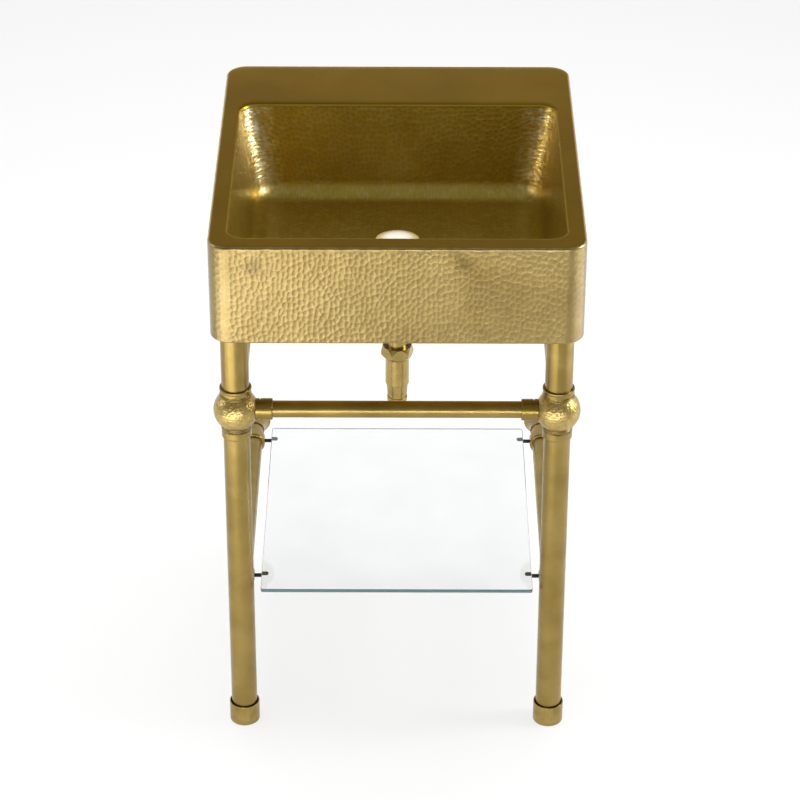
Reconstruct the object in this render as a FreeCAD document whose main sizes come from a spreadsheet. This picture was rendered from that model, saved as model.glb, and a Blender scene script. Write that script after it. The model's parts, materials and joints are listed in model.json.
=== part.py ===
import FreeCAD, Part
import math
import os
from types import SimpleNamespace

import Sketcher

# Console vanity: a hammered brass apron sink on two tube legs, tied to the wall by four side rails,
# with a crossbar between two ball fittings and a glass shelf on pins.
# X is to the right, Y to the wall and Z up. The origin is on the floor, under the middle of the sink.

# Driving dimensions, in millimetres
SIZES = {
    # Sink
    "sink_width": 533.4,
    "sink_depth": 609.6,
    "rim_height": 886.0,
    "apron_height": 153.0,
    "sheet_gauge": 2.0,
    "corner_radius": 32.0,
    "rim_lip": 9.0,
    "rim_edge_radius": 4.0,
    "side_rim": 27.0,
    "front_rim": 32.0,
    "back_deck": 140.0,
    "opening_corner_radius": 26.0,
    "opening_edge_radius": 3.0,
    "basin_depth": 146.0,
    "wall_batter": 22.0,
    "floor_corner_radius": 46.0,
    "floor_fillet": 30.0,
    "return_width": 62.0,
    # Wall cleat under the back of the sink
    "cleat_length": 400.0,
    "cleat_leg": 40.0,
    "cleat_hole_spacing": 300.0,
    "cleat_hole_diameter": 7.0,
    "cleat_screw_spacing": 340.0,
    # Drain in the basin floor
    "drain_shift": 37.0,
    "drain_flange_diameter": 58.0,
    "drain_flange_thickness": 3.0,
    "barrel_diameter": 41.0,
    "barrel_length": 56.0,
    "barrel_bore": 30.0,
    "drain_hole_clearance": 1.5,
    "spider_drop": 16.0,
    "spider_height": 6.0,
    "spoke_width": 4.0,
    "hub_diameter": 13.0,
    "cap_diameter": 66.0,
    "cap_edge": 2.2,
    "cap_crown": 7.0,
    "cap_lift": 10.0,
    "stem_diameter": 6.0,
    "stem_end_diameter": 10.0,
    "stem_end_height": 4.0,
    "seal_diameter": 56.0,
    "seal_width": 4.5,
    "seal_height": 2.4,
    "gasket_diameter": 62.0,
    "gasket_thickness": 6.0,
    "washer_diameter": 60.0,
    "washer_thickness": 1.5,
    "locknut_flats": 52.0,
    "locknut_height": 9.0,
    # Tailpiece and outlet
    "tailpiece_diameter": 31.75,
    "tailpiece_wall": 1.2,
    "tail_socket_depth": 20.0,
    "tail_engagement": 30.0,
    "outlet_drop": 182.0,
    "socket_diameter": 36.3,
    "socket_length": 57.0,
    "socket_floor": 8.0,
    "socket_chamfer": 1.2,
    "outlet_bore": 24.0,
    "slip_nut_flats": 44.0,
    "slip_nut_height": 21.0,
    "slip_nut_skirt": 11.0,
    "slip_nut_taper": 7.0,
    "slip_nut_crown": 10.0,
    "slip_nut_crown_draft": 3.5,
    "slip_washer_height": 5.0,
    "reducer_top_diameter": 33.3,
    "reducer_end_diameter": 29.2,
    "reducer_length": 23.2,
    "reducer_lip_diameter": 31.0,
    "reducer_lip": 6.0,
    "spigot_diameter": 27.0,
    "spigot_length": 16.0,
    # Legs
    "leg_side_inset": 29.3,
    "leg_setback": 100.0,
    "upper_tube_diameter": 41.0,
    "lower_tube_diameter": 39.6,
    "tube_wall": 1.6,
    "ball_drop": 168.0,
    "ball_diameter": 67.0,
    "ball_web": 30.0,
    "upper_collar_diameter": 46.6,
    "upper_collar_reach": 39.0,
    "lower_collar_diameter": 44.5,
    "lower_collar_reach": 44.5,
    "collar_bead": 2.2,
    "collar_lip": 4.0,
    "bead_round_share": 0.6,
    "lip_round_share": 0.9,
    "collar_relief": 1.0,
    "leg_flange_diameter": 58.0,
    "leg_flange_thickness": 5.0,
    "leg_spigot_length": 28.0,
    "leg_screw_circle": 50.0,
    # Small screws and nuts that hold the sink to the legs and the cleat
    "screw_diameter": 4.0,
    "screw_hole_clearance": 0.25,
    "screw_head_diameter": 7.0,
    "screw_head_height": 2.6,
    "screw_tail": 1.5,
    "nut_flats": 7.0,
    "nut_height": 3.2,
    # Levelling feet
    "ferrule_diameter": 46.2,
    "ferrule_wall": 1.8,
    "ferrule_height": 35.0,
    "ferrule_floor": 4.0,
    "ferrule_edge": 2.0,
    "ferrule_lip": 0.8,
    "foot_travel": 12.0,
    "foot_margin": 1.0,
    "stud_diameter": 12.0,
    "stud_length": 36.0,
    "insert_length": 25.0,
    # Crossbar and upper rails
    "bar_diameter": 25.4,
    "bar_wall": 1.6,
    "bar_socket_floor": 16.0,
    "bar_collar_diameter": 32.3,
    "bar_collar_reach": 54.2,
    "bar_groove_start": 34.6,
    "bar_groove_width": 2.0,
    "bar_groove_depth": 1.2,
    "bar_collar_lip": 1.6,
    # Shelf rails, their collars and pins
    "shelf_rail_diameter": 28.6,
    "shelf_rail_wall": 1.6,
    "shelf_rail_height": 238.6,
    "front_pin_setback": 145.0,
    "rear_pin_setback": 541.0,
    "shelf_collar_diameter": 37.0,
    "shelf_collar_length": 22.0,
    "shelf_collar_edge": 3.0,
    "pin_diameter": 4.0,
    "pin_reach": 36.0,
    "sleeve_diameter": 6.0,
    "sleeve_reach": 39.8,
    # Wall flanges
    "flange_diameter": 50.0,
    "flange_edge": 4.0,
    "flange_length": 36.0,
    "flange_floor": 5.0,
    "flange_neck_wall": 1.5,
    "flange_bell_radius": 40.0,
    "wall_bolt_hole": 8.6,
    "set_screw_diameter": 4.0,
    "set_screw_length": 4.2,
    "set_screw_setback": 10.0,
    # Glass shelf
    "glass_depth": 474.0,
    "glass_thickness": 6.0,
    "glass_setback": 93.0,
    "glass_side_gap": 10.9,
    "glass_corner_radius": 4.0,
    "glass_arris": 0.8,
    "glass_seat_gap": 0.3,
    # Clearances
    "fit_gap": 0.1,
    "running_gap": 0.05,
    "seat_gap": 0.2,
}

SIDES = ("left", "right")
LEG_SCREW_ANGLES = (90, 210, 330)
SPOKE_ANGLES = (0, 90)
HEX_CORNERS = 6
TURN_TO_X = FreeCAD.Rotation(FreeCAD.Vector(0, 1, 0), 90)
TURN_TO_MINUS_X = FreeCAD.Rotation(FreeCAD.Vector(0, 1, 0), -90)
TURN_TO_Y = FreeCAD.Rotation(FreeCAD.Vector(1, 0, 0), -90)
TURN_TO_MINUS_Y = FreeCAD.Rotation(FreeCAD.Vector(1, 0, 0), 90)
NUT_TURN = FreeCAD.Rotation(FreeCAD.Vector(0, 0, 1), 12)
QUARTER_TURN = FreeCAD.Rotation(FreeCAD.Vector(0, 0, 1), 90)
HALF_TURN = FreeCAD.Rotation(FreeCAD.Vector(0, 0, 1), 180)
SAME_PLACE = 1e-6
# A sketch's own numbers for the points of an edge and for its two axes
START, END, CENTRE = range(1, 4)
V_AXIS, H_AXIS = range(-2, 0)
ORIGIN_POINT = (H_AXIS, START)


class Size:
    """A length worked out from the sheet, with the expression that gives it and its present value."""

    def __init__(self, text, value):
        self.text = text
        self.value = value

    def __add__(self, other):
        other = as_size(other)
        return Size(f"({self.text} + {other.text})", self.value + other.value)

    def __sub__(self, other):
        other = as_size(other)
        return Size(f"({self.text} - {other.text})", self.value - other.value)

    def __mul__(self, other):
        other = as_size(other)
        return Size(f"({self.text} * {other.text})", self.value * other.value)

    def __truediv__(self, other):
        other = as_size(other)
        return Size(f"({self.text} / {other.text})", self.value / other.value)

    def __neg__(self):
        return Size(f"(-{self.text})", -self.value)

    __radd__ = __add__
    __rmul__ = __mul__


def as_size(number):
    if isinstance(number, Size):
        return number
    return Size(f"({number})", float(number))


def root(size):
    return Size(f"sqrt({size.text})", math.sqrt(size.value))


def chord_height(radius, offset):
    """How far a circle's edge lies from its centre, at an offset to one side."""
    return root(radius * radius - offset * offset)


def make_sheet(doc):
    sheet = doc.addObject("Spreadsheet::Sheet", "sizes")
    for row, (name, value) in enumerate(SIZES.items(), start=1):
        sheet.set(f"A{row}", name)
        sheet.set(f"B{row}", str(value))
        sheet.setAlias(f"B{row}", name)
    doc.recompute()
    return SimpleNamespace(**{name: Size(f"sizes.{name}", value) for name, value in SIZES.items()})


# Sketch and feature helpers
def new_body(label):
    body = doc.addObject("PartDesign::Body", label)
    body.Label = label
    body.AllowCompound = True
    nodes.append(body)
    return body


def new_sketch(body, name, role="XY_Plane", lift=None):
    sketch = body.newObject("Sketcher::SketchObject", f"{body.Name}_{name}")
    plane = next(feature for feature in body.Origin.OriginFeatures if feature.Role == role)
    sketch.AttachmentSupport = [(plane, "")]
    sketch.MapMode = "FlatFace"
    if lift is not None:
        sketch.setExpression("AttachmentOffset.Base.z", lift.text)
    return sketch


def bind(sketch, kind, *where, size):
    index = sketch.addConstraint(Sketcher.Constraint(kind, *where, size.value))
    sketch.setExpression(f"Constraints[{index}]", size.text)


def fix_point(sketch, edge, end, x, y):
    for kind, axis, place in (("DistanceX", V_AXIS, x), ("DistanceY", H_AXIS, y)):
        if isinstance(place, Size):
            bind(sketch, kind, *ORIGIN_POINT, edge, end, size=place)
        else:
            sketch.addConstraint(Sketcher.Constraint("PointOnObject", edge, end, axis))


def plain(place):
    return place.value if isinstance(place, Size) else 0.0


def point(x, y):
    return FreeCAD.Vector(plain(x), plain(y), 0)


def add_circle(sketch, x, y, diameter):
    circle = Part.Circle(point(x, y), FreeCAD.Vector(0, 0, 1), diameter.value / 2)
    edge = sketch.addGeometry(circle, False)
    fix_point(sketch, edge, CENTRE, x, y)
    bind(sketch, "Diameter", edge, size=diameter)


def add_hexagon(sketch, x, y, flats):
    """Six equal sides whose corners lie on a construction circle, with two corners along X."""
    radius = flats / root(as_size(3))
    guide = sketch.addGeometry(Part.Circle(point(x, y), FreeCAD.Vector(0, 0, 1), radius.value), True)
    fix_point(sketch, guide, CENTRE, x, y)
    bind(sketch, "Radius", guide, size=radius)
    corners = []
    for corner in range(HEX_CORNERS):
        turn = 2 * math.pi * corner / HEX_CORNERS
        corners.append(point(x, y) + radius.value * FreeCAD.Vector(math.cos(turn), math.sin(turn), 0))
    edges = []
    for corner in range(HEX_CORNERS):
        line = Part.LineSegment(corners[corner], corners[(corner + 1) % HEX_CORNERS])
        edges.append(sketch.addGeometry(line, False))
    for corner in range(HEX_CORNERS):
        following = edges[(corner + 1) % HEX_CORNERS]
        sketch.addConstraint(Sketcher.Constraint("Coincident", edges[corner], END, following, START))
        sketch.addConstraint(Sketcher.Constraint("PointOnObject", edges[corner], START, guide))
        if corner:
            sketch.addConstraint(Sketcher.Constraint("Equal", edges[0], edges[corner]))
    sketch.addConstraint(Sketcher.Constraint("Horizontal", edges[1]))


def add_rounded_rectangle(sketch, x_low, x_high, y_low, y_high, radius):
    """Four sides and four corner arcs of one radius."""
    left, right = x_low.value, x_high.value
    front, back = y_low.value, y_high.value
    r = radius.value
    ends = (
        ((left + r, front), (right - r, front)),
        ((right, front + r), (right, back - r)),
        ((right - r, back), (left + r, back)),
        ((left, back - r), (left, front + r)),
    )
    lines = []
    for start, end in ends:
        line = Part.LineSegment(FreeCAD.Vector(*start, 0), FreeCAD.Vector(*end, 0))
        lines.append(sketch.addGeometry(line, False))
    middles = ((right - r, front + r), (right - r, back - r), (left + r, back - r), (left + r, front + r))
    arcs = []
    for corner, middle in enumerate(middles):
        circle = Part.Circle(FreeCAD.Vector(*middle, 0), FreeCAD.Vector(0, 0, 1), r)
        begin = math.radians(90) * (corner - 1)
        arcs.append(sketch.addGeometry(Part.ArcOfCircle(circle, begin, begin + math.radians(90)), False))
    for corner in range(len(lines)):
        following = lines[(corner + 1) % len(lines)]
        sketch.addConstraint(Sketcher.Constraint("Tangent", lines[corner], END, arcs[corner], START))
        sketch.addConstraint(Sketcher.Constraint("Tangent", arcs[corner], END, following, START))
        if corner:
            sketch.addConstraint(Sketcher.Constraint("Equal", arcs[0], arcs[corner]))
    sketch.addConstraint(Sketcher.Constraint("Horizontal", lines[0]))
    bind(sketch, "Radius", arcs[0], size=radius)
    bind(sketch, "DistanceY", *ORIGIN_POINT, lines[0], START, size=y_low)
    bind(sketch, "DistanceX", *ORIGIN_POINT, lines[1], START, size=x_high)
    bind(sketch, "DistanceY", *ORIGIN_POINT, lines[2], START, size=y_high)
    bind(sketch, "DistanceX", *ORIGIN_POINT, lines[3], START, size=x_low)


def add_outline(sketch, corners):
    """A closed outline of corners (x, y) or (x, y, arc radius, side).

    An arc leads from its corner to the next. Side 1 puts its centre to the left of that way, -1 to the right.
    """
    count = len(corners)
    ends = []
    for here, there in zip(corners, corners[1:] + corners[:1]):
        first, last = point(*here[:2]), point(*there[:2])
        if len(here) == 2:
            edge = sketch.addGeometry(Part.LineSegment(first, last), False)
            ends.append((edge, START, END))
            continue
        radius, side = here[2:]
        half = (last - first) * 0.5
        across = FreeCAD.Vector(-half.y, half.x, 0).normalize()
        middle = first + half + across * side * math.sqrt(radius.value**2 - half.Length**2)
        way = (first, last) if side > 0 else (last, first)
        angles = [math.atan2((end - middle).y, (end - middle).x) for end in way]
        circle = Part.Circle(middle, FreeCAD.Vector(0, 0, 1), radius.value)
        edge = sketch.addGeometry(Part.ArcOfCircle(circle, *angles), False)
        ends.append((edge, START, END) if side > 0 else (edge, END, START))
    for index, (edge, start, end) in enumerate(ends):
        following = ends[(index + 1) % count]
        sketch.addConstraint(Sketcher.Constraint("Coincident", edge, end, following[0], following[1]))
    for (edge, start, end), corner in zip(ends, corners):
        fix_point(sketch, edge, start, *corner[:2])
        if len(corner) > 2:
            bind(sketch, "Radius", edge, size=corner[2])


def pad(body, sketch, length, reverse=False):
    feature = body.newObject("PartDesign::Pad", f"{sketch.Name}_pad")
    feature.Profile = sketch
    feature.setExpression("Length", length.text)
    feature.Reversed = reverse
    return feature


def pocket(body, sketch, length=None, reverse=False, both_ways=False):
    """A cut against the sketch's normal, or along it when reversed. Without a length it goes right through."""
    doc.recompute()
    before = body.Shape.Volume
    feature = body.newObject("PartDesign::Pocket", f"{sketch.Name}_pocket")
    feature.Profile = sketch
    feature.Reversed = reverse
    feature.Midplane = both_ways
    if length is None:
        feature.Type = "ThroughAll"
    else:
        feature.setExpression("Length", length.text)
    doc.recompute()
    if body.Shape.Volume >= before:
        raise ValueError(f"{feature.Name} cuts nothing")
    return feature


def fillet(body, keep, radius, kind="Fillet"):
    """Rounds the edges of the body's present shape that keep() picks."""
    doc.recompute()
    base = body.Tip
    names = [f"Edge{index}" for index, edge in enumerate(base.Shape.Edges, start=1) if keep(edge)]
    feature = body.newObject(f"PartDesign::{kind}", f"{base.Name}_{kind.lower()}")
    feature.Base = (base, names)
    feature.setExpression("Radius" if kind == "Fillet" else "Size", radius.text)
    return feature


def lies_at(height):
    """Picks edges that lie level at a height in the body's own frame."""

    def keep(edge):
        box = edge.BoundBox
        return abs(box.ZMin - height.value) < SAME_PLACE and abs(box.ZMax - height.value) < SAME_PLACE

    return keep


def turned(label, corners):
    """A piece turned about its own Z axis from a half outline of (radius, height) corners."""
    body = new_body(label)
    sketch = new_sketch(body, "profile", "XZ_Plane")
    add_outline(sketch, corners)
    feature = body.newObject("PartDesign::Revolution", f"{label}_turn")
    feature.Profile = sketch
    feature.ReferenceAxis = (sketch, ["V_Axis"])
    feature.Angle = 360
    return body


def ring(label, outer_radius, inner_radius, low, high):
    return turned(
        label,
        [(inner_radius, low), (outer_radius, low), (outer_radius, high), (inner_radius, high)],
    )


def sign_of(side):
    return -1 if side == "left" else 1


def place(piece, x=None, y=None, z=None, turn=None):
    if turn is not None:
        piece.Placement = FreeCAD.Placement(FreeCAD.Vector(), turn)
    for axis, size in (("x", x), ("y", y), ("z", z)):
        if size is not None:
            piece.setExpression(f"Placement.Base.{axis}", size.text)
    return piece


# Sink
def sink_outline(sketch, inset):
    half_width = d.sink_width / 2 - inset
    half_depth = d.sink_depth / 2 - inset
    add_rounded_rectangle(
        sketch, -half_width, half_width, -half_depth, half_depth, d.corner_radius - inset
    )


def opening_outline(sketch, inset, radius):
    """The basin's outline at one level, drawn in from its opening in the rim."""
    half_width = d.sink_width / 2 - d.side_rim - inset
    front = -d.sink_depth / 2 + d.front_rim + inset
    back = d.sink_depth / 2 - d.back_deck - inset
    add_rounded_rectangle(sketch, -half_width, half_width, front, back, radius)


def basin_loft(body, kind, name, depth, outset):
    """The tapered basin, from the rim's level down to a floor, as a solid that is added or taken away."""
    top = new_sketch(body, f"{name}_top")
    opening_outline(top, -outset, d.opening_corner_radius + outset)
    bottom = new_sketch(body, f"{name}_bottom", lift=-depth)
    batter = d.wall_batter * depth / d.basin_depth
    opening_outline(bottom, batter - outset, d.floor_corner_radius + outset)
    loft = body.newObject(f"PartDesign::{kind}", f"{name}_loft")
    loft.Profile = top
    loft.Sections = [bottom]
    loft.Ruled = True


def make_sink_bowl():
    gauge = d.sheet_gauge
    body = new_body("sink_bowl")
    deck = new_sketch(body, "deck")
    sink_outline(deck, as_size(0))
    pad(body, deck, d.rim_lip, reverse=True)
    fillet(body, lies_at(as_size(0)), d.rim_edge_radius)
    under = new_sketch(body, "under", lift=-d.rim_lip)
    sink_outline(under, gauge)
    pocket(body, under, d.rim_lip - gauge, reverse=True)
    fillet(body, lies_at(-gauge), d.rim_edge_radius - gauge)
    outer_floor = d.basin_depth + gauge
    basin_loft(body, "AdditiveLoft", "outside", outer_floor, gauge)
    basin_loft(body, "SubtractiveLoft", "inside", d.basin_depth, as_size(0))
    fillet(body, lies_at(-d.basin_depth), d.floor_fillet)
    fillet(body, lies_at(-outer_floor), d.floor_fillet + gauge)
    drain = new_sketch(body, "drain", lift=-d.basin_depth)
    add_circle(drain, 0, drain_y, drain_hole)
    pocket(body, drain)
    inner_half = d.sink_width / 2 - d.side_rim

    def opening_edge(edge):
        return lies_at(as_size(0))(edge) and abs(edge.BoundBox.XMin) < inner_half.value + SAME_PLACE

    fillet(body, opening_edge, d.opening_edge_radius)
    return place(body, z=d.rim_height)


def leg_screw_places():
    """Where the small screws pass the sink's bottom return, three round each leg and two at the cleat."""
    radius = d.leg_screw_circle / 2
    places = []
    for side in SIDES:
        for angle in LEG_SCREW_ANGLES:
            along = radius * math.cos(math.radians(angle))
            back = radius * math.sin(math.radians(angle))
            places.append((leg_x * sign_of(side) + along, leg_y + back))
    for side in SIDES:
        places.append((d.cleat_screw_spacing / 2 * sign_of(side), wall_y - d.cleat_leg / 2))
    return places


def make_sink_apron():
    gauge = d.sheet_gauge
    skin_height = d.apron_height - d.rim_lip
    body = new_body("sink_apron")
    skin = new_sketch(body, "skin")
    sink_outline(skin, as_size(0))
    pad(body, skin, skin_height)
    inside = new_sketch(body, "inside", lift=skin_height)
    sink_outline(inside, gauge)
    pocket(body, inside, skin_height - gauge)
    window = new_sketch(body, "window", lift=skin_height)
    half_width = d.sink_width / 2 - d.return_width
    half_depth = d.sink_depth / 2 - d.return_width
    add_rounded_rectangle(
        window, -half_width, half_width, -half_depth, half_depth, d.corner_radius
    )
    pocket(body, window)
    holes = new_sketch(body, "holes", lift=skin_height)
    for x, y in leg_screw_places():
        add_circle(holes, x, y, screw_hole)
    pocket(body, holes)
    return place(body, z=apron_bottom)


def make_wall_cleat():
    """An angle bar, its level leg under the sink's return and its upright leg on the wall."""
    leg, thickness = d.cleat_leg, d.leg_flange_thickness
    body = new_body("wall_cleat")
    section = new_sketch(body, "section", "YZ_Plane")
    back = as_size(0)
    add_outline(
        section,
        [
            (0, 0),
            (0, -leg),
            (back - thickness, -leg),
            (back - thickness, -thickness),
            (-leg, -thickness),
            (-leg, 0),
        ],
    )
    bar = pad(body, section, d.cleat_length)
    bar.Midplane = True
    doc.recompute()
    level = new_sketch(body, "level_holes")
    for side in SIDES:
        add_circle(level, d.cleat_screw_spacing / 2 * sign_of(side), -leg / 2, screw_hole)
    pocket(body, level)
    upright = new_sketch(body, "wall_holes", "XZ_Plane")
    for side in SIDES:
        along = d.cleat_hole_spacing / 2 * sign_of(side)
        add_circle(upright, along, -(leg + thickness) / 2, d.cleat_hole_diameter)
    pocket(body, upright, both_ways=True)
    return place(body, y=wall_y, z=apron_bottom)


def make_sink_screws():
    body = new_body("sink_screws")
    head_top = apron_bottom - d.leg_flange_thickness
    heads = new_sketch(body, "heads", lift=head_top - d.screw_head_height)
    shanks = new_sketch(body, "shanks", lift=head_top)
    for x, y in leg_screw_places():
        add_circle(heads, x, y, d.screw_head_diameter)
        add_circle(shanks, x, y, d.screw_diameter)
    pad(body, heads, d.screw_head_height)
    pad(body, shanks, d.leg_flange_thickness + d.sheet_gauge + d.nut_height + d.screw_tail)


def make_sink_nuts():
    body = new_body("sink_nuts")
    blanks = new_sketch(body, "blanks", lift=apron_bottom + d.sheet_gauge)
    for x, y in leg_screw_places():
        add_hexagon(blanks, x, y, d.nut_flats)
        add_circle(blanks, x, y, d.screw_diameter + d.running_gap * 2)
    pad(body, blanks, d.nut_height)


# Drain
def make_drain():
    bore = d.barrel_bore / 2
    barrel = d.barrel_diameter / 2
    flange = d.drain_flange_diameter / 2
    shoulder = d.tail_socket_depth - d.barrel_length
    tail_socket = d.tailpiece_diameter / 2 + d.fit_gap
    body = turned(
        "drain_body",
        [
            (bore, d.drain_flange_thickness),
            (bore, shoulder),
            (tail_socket, shoulder),
            (tail_socket, -d.barrel_length),
            (barrel, -d.barrel_length),
            (barrel, 0),
            (flange, 0),
            (flange, d.drain_flange_thickness),
        ],
    )
    spider_low = -d.spider_drop - d.spider_height
    for angle in SPOKE_ANGLES:
        spoke = new_sketch(body, f"spoke_{angle}", lift=spider_low)
        half_length, half_width = bore + d.fit_gap, d.spoke_width / 2
        if angle:
            half_length, half_width = half_width, half_length
        add_outline(
            spoke,
            [
                (-half_length, -half_width),
                (half_length, -half_width),
                (half_length, half_width),
                (-half_length, half_width),
            ],
        )
        pad(body, spoke, d.spider_height)
    hub = new_sketch(body, "hub", lift=spider_low)
    add_circle(hub, 0, 0, d.hub_diameter)
    pad(body, hub, d.spider_height)
    guide = new_sketch(body, "guide", lift=-d.spider_drop)
    add_circle(guide, 0, 0, d.stem_diameter + d.running_gap * 2)
    pocket(body, guide)
    place(body, y=drain_y, z=floor_top)

    seal_radius = d.seal_diameter / 2
    seal = ring("drain_cap_seal", seal_radius, seal_radius - d.seal_width, as_size(0), d.seal_height)
    place(seal, y=drain_y, z=flange_top)

    cap_radius = d.cap_diameter / 2
    edge_round = d.cap_edge / 2
    dome = (cap_radius * cap_radius + d.cap_crown * d.cap_crown) / (2 * d.cap_crown)
    cap = turned(
        "drain_cap",
        [
            (0, 0),
            (cap_radius - edge_round, 0, edge_round, 1),
            (cap_radius, edge_round),
            (cap_radius, d.cap_edge, dome, 1),
            (0, d.cap_edge + d.cap_crown),
        ],
    )
    place(cap, y=drain_y, z=flange_top + d.seal_height)

    stem_radius = d.stem_diameter / 2
    end_radius = d.stem_end_diameter / 2
    end_top = floor_top + spider_low - d.cap_lift - d.seat_gap - (flange_top + d.seal_height)
    stem = turned(
        "drain_stem",
        [
            (0, end_top - d.stem_end_height),
            (end_radius, end_top - d.stem_end_height),
            (end_radius, end_top),
            (stem_radius, end_top),
            (stem_radius, 0),
            (0, 0),
        ],
    )
    place(stem, y=drain_y, z=flange_top + d.seal_height)

    around = barrel + d.fit_gap
    low = floor_top - d.sheet_gauge
    for label, outer, height in (
        ("drain_gasket", d.gasket_diameter / 2, d.gasket_thickness),
        ("drain_washer", d.washer_diameter / 2, d.washer_thickness),
    ):
        low = low - height
        place(ring(label, outer, around, as_size(0), height), y=drain_y, z=low)
    nut = new_body("drain_locknut")
    blank = new_sketch(nut, "blank")
    add_hexagon(blank, 0, 0, d.locknut_flats)
    add_circle(blank, 0, 0, around * 2)
    pad(nut, blank, d.locknut_height)
    place(nut, y=drain_y, z=low - d.locknut_height)


def make_tail():
    tube = d.tailpiece_diameter / 2
    tail_top = floor_top - d.barrel_length + d.tail_socket_depth
    tail_low = outlet_top - d.tail_engagement
    tail = ring("tailpiece", tube, tube - d.tailpiece_wall, as_size(0), tail_top - tail_low)
    place(tail, y=drain_y, z=tail_low)

    socket_radius = d.socket_diameter / 2
    socket_bore = tube + d.fit_gap
    outlet = d.outlet_bore / 2
    register = outlet + d.tailpiece_wall
    socket = turned(
        "outlet_socket",
        [
            (register, 0),
            (socket_radius - d.socket_chamfer, 0),
            (socket_radius, d.socket_chamfer),
            (socket_radius, d.socket_length),
            (socket_bore, d.socket_length),
            (socket_bore, d.socket_floor),
            (register, d.socket_floor),
        ],
    )
    socket_low = outlet_top - d.socket_length
    place(socket, y=drain_y, z=socket_low)

    reducer_end = -d.reducer_length
    lip_end = reducer_end - d.reducer_lip
    reducer = turned(
        "outlet_reducer",
        [
            (outlet, d.socket_floor),
            (outlet, lip_end - d.spigot_length),
            (d.spigot_diameter / 2, lip_end - d.spigot_length),
            (d.spigot_diameter / 2, lip_end),
            (d.reducer_lip_diameter / 2, lip_end),
            (d.reducer_lip_diameter / 2, reducer_end),
            (d.reducer_end_diameter / 2, reducer_end),
            (d.reducer_top_diameter / 2, 0),
            (register - d.fit_gap, 0),
            (register - d.fit_gap, d.socket_floor),
        ],
    )
    place(reducer, y=drain_y, z=socket_low)

    washer = ring("slip_washer", socket_radius, socket_bore, as_size(0), d.slip_washer_height)
    place(washer, y=drain_y, z=outlet_top)
    make_slip_nut(socket_radius + d.fit_gap, socket_bore)


def make_slip_nut(thread_radius, tube_radius):
    """A six-sided nut with its corners turned off above and below: a hexagon shared with two cones."""
    corner_radius = d.slip_nut_flats / root(as_size(3))
    skirt_radius = thread_radius + d.tailpiece_wall
    counterbore = d.slip_nut_skirt + d.slip_washer_height
    blank = doc.addObject("Part::Prism", "slip_nut_blank")
    blank.Polygon = HEX_CORNERS
    blank.setExpression("Circumradius", corner_radius.text)
    blank.setExpression("Height", d.slip_nut_height.text)
    taper = doc.addObject("Part::Cone", "slip_nut_taper")
    taper.setExpression("Radius1", skirt_radius.text)
    taper.setExpression("Radius2", corner_radius.text)
    taper.setExpression("Height", d.slip_nut_taper.text)
    crown_low = d.slip_nut_height - d.slip_nut_crown
    waist = doc.addObject("Part::Cylinder", "slip_nut_waist")
    waist.setExpression("Radius", corner_radius.text)
    waist.setExpression("Height", (crown_low - d.slip_nut_taper).text)
    place(waist, z=d.slip_nut_taper)
    crown = doc.addObject("Part::Cone", "slip_nut_crown")
    crown.setExpression("Radius1", corner_radius.text)
    crown.setExpression("Radius2", (corner_radius - d.slip_nut_crown_draft).text)
    crown.setExpression("Height", d.slip_nut_crown.text)
    place(crown, z=crown_low)
    envelope = doc.addObject("Part::MultiFuse", "slip_nut_envelope")
    envelope.Shapes = [taper, waist, crown]
    body = doc.addObject("Part::Common", "slip_nut_body")
    body.Base = blank
    body.Tool = envelope
    bore = doc.addObject("Part::Cylinder", "slip_nut_bore")
    bore.setExpression("Radius", tube_radius.text)
    bore.setExpression("Height", d.slip_nut_height.text)
    thread = doc.addObject("Part::Cylinder", "slip_nut_thread")
    thread.setExpression("Radius", thread_radius.text)
    thread.setExpression("Height", counterbore.text)
    hollow = doc.addObject("Part::Fuse", "slip_nut_hollow")
    hollow.Base = bore
    hollow.Tool = thread
    nut = doc.addObject("Part::Cut", "slip_nut")
    nut.Label = "slip_nut"
    nut.Base = body
    nut.Tool = hollow
    nodes.append(nut)
    place(nut, y=drain_y, z=outlet_top - d.slip_nut_skirt, turn=NUT_TURN)


# Legs
def make_leg_top_flange(side):
    spigot = d.upper_tube_diameter / 2 - d.tube_wall - d.fit_gap
    body = turned(
        f"{side}_leg_top_flange",
        [
            (0, -d.leg_flange_thickness - d.leg_spigot_length),
            (spigot, -d.leg_flange_thickness - d.leg_spigot_length),
            (spigot, -d.leg_flange_thickness),
            (d.leg_flange_diameter / 2, -d.leg_flange_thickness),
            (d.leg_flange_diameter / 2, 0),
            (0, 0),
        ],
    )
    holes = new_sketch(body, "holes")
    for angle in LEG_SCREW_ANGLES:
        radius = d.leg_screw_circle / 2
        along = radius * math.cos(math.radians(angle))
        back = radius * math.sin(math.radians(angle))
        add_circle(holes, along, back, screw_hole)
    pocket(body, holes)
    place(body, x=leg_x * sign_of(side), y=leg_y, z=apron_bottom)


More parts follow.
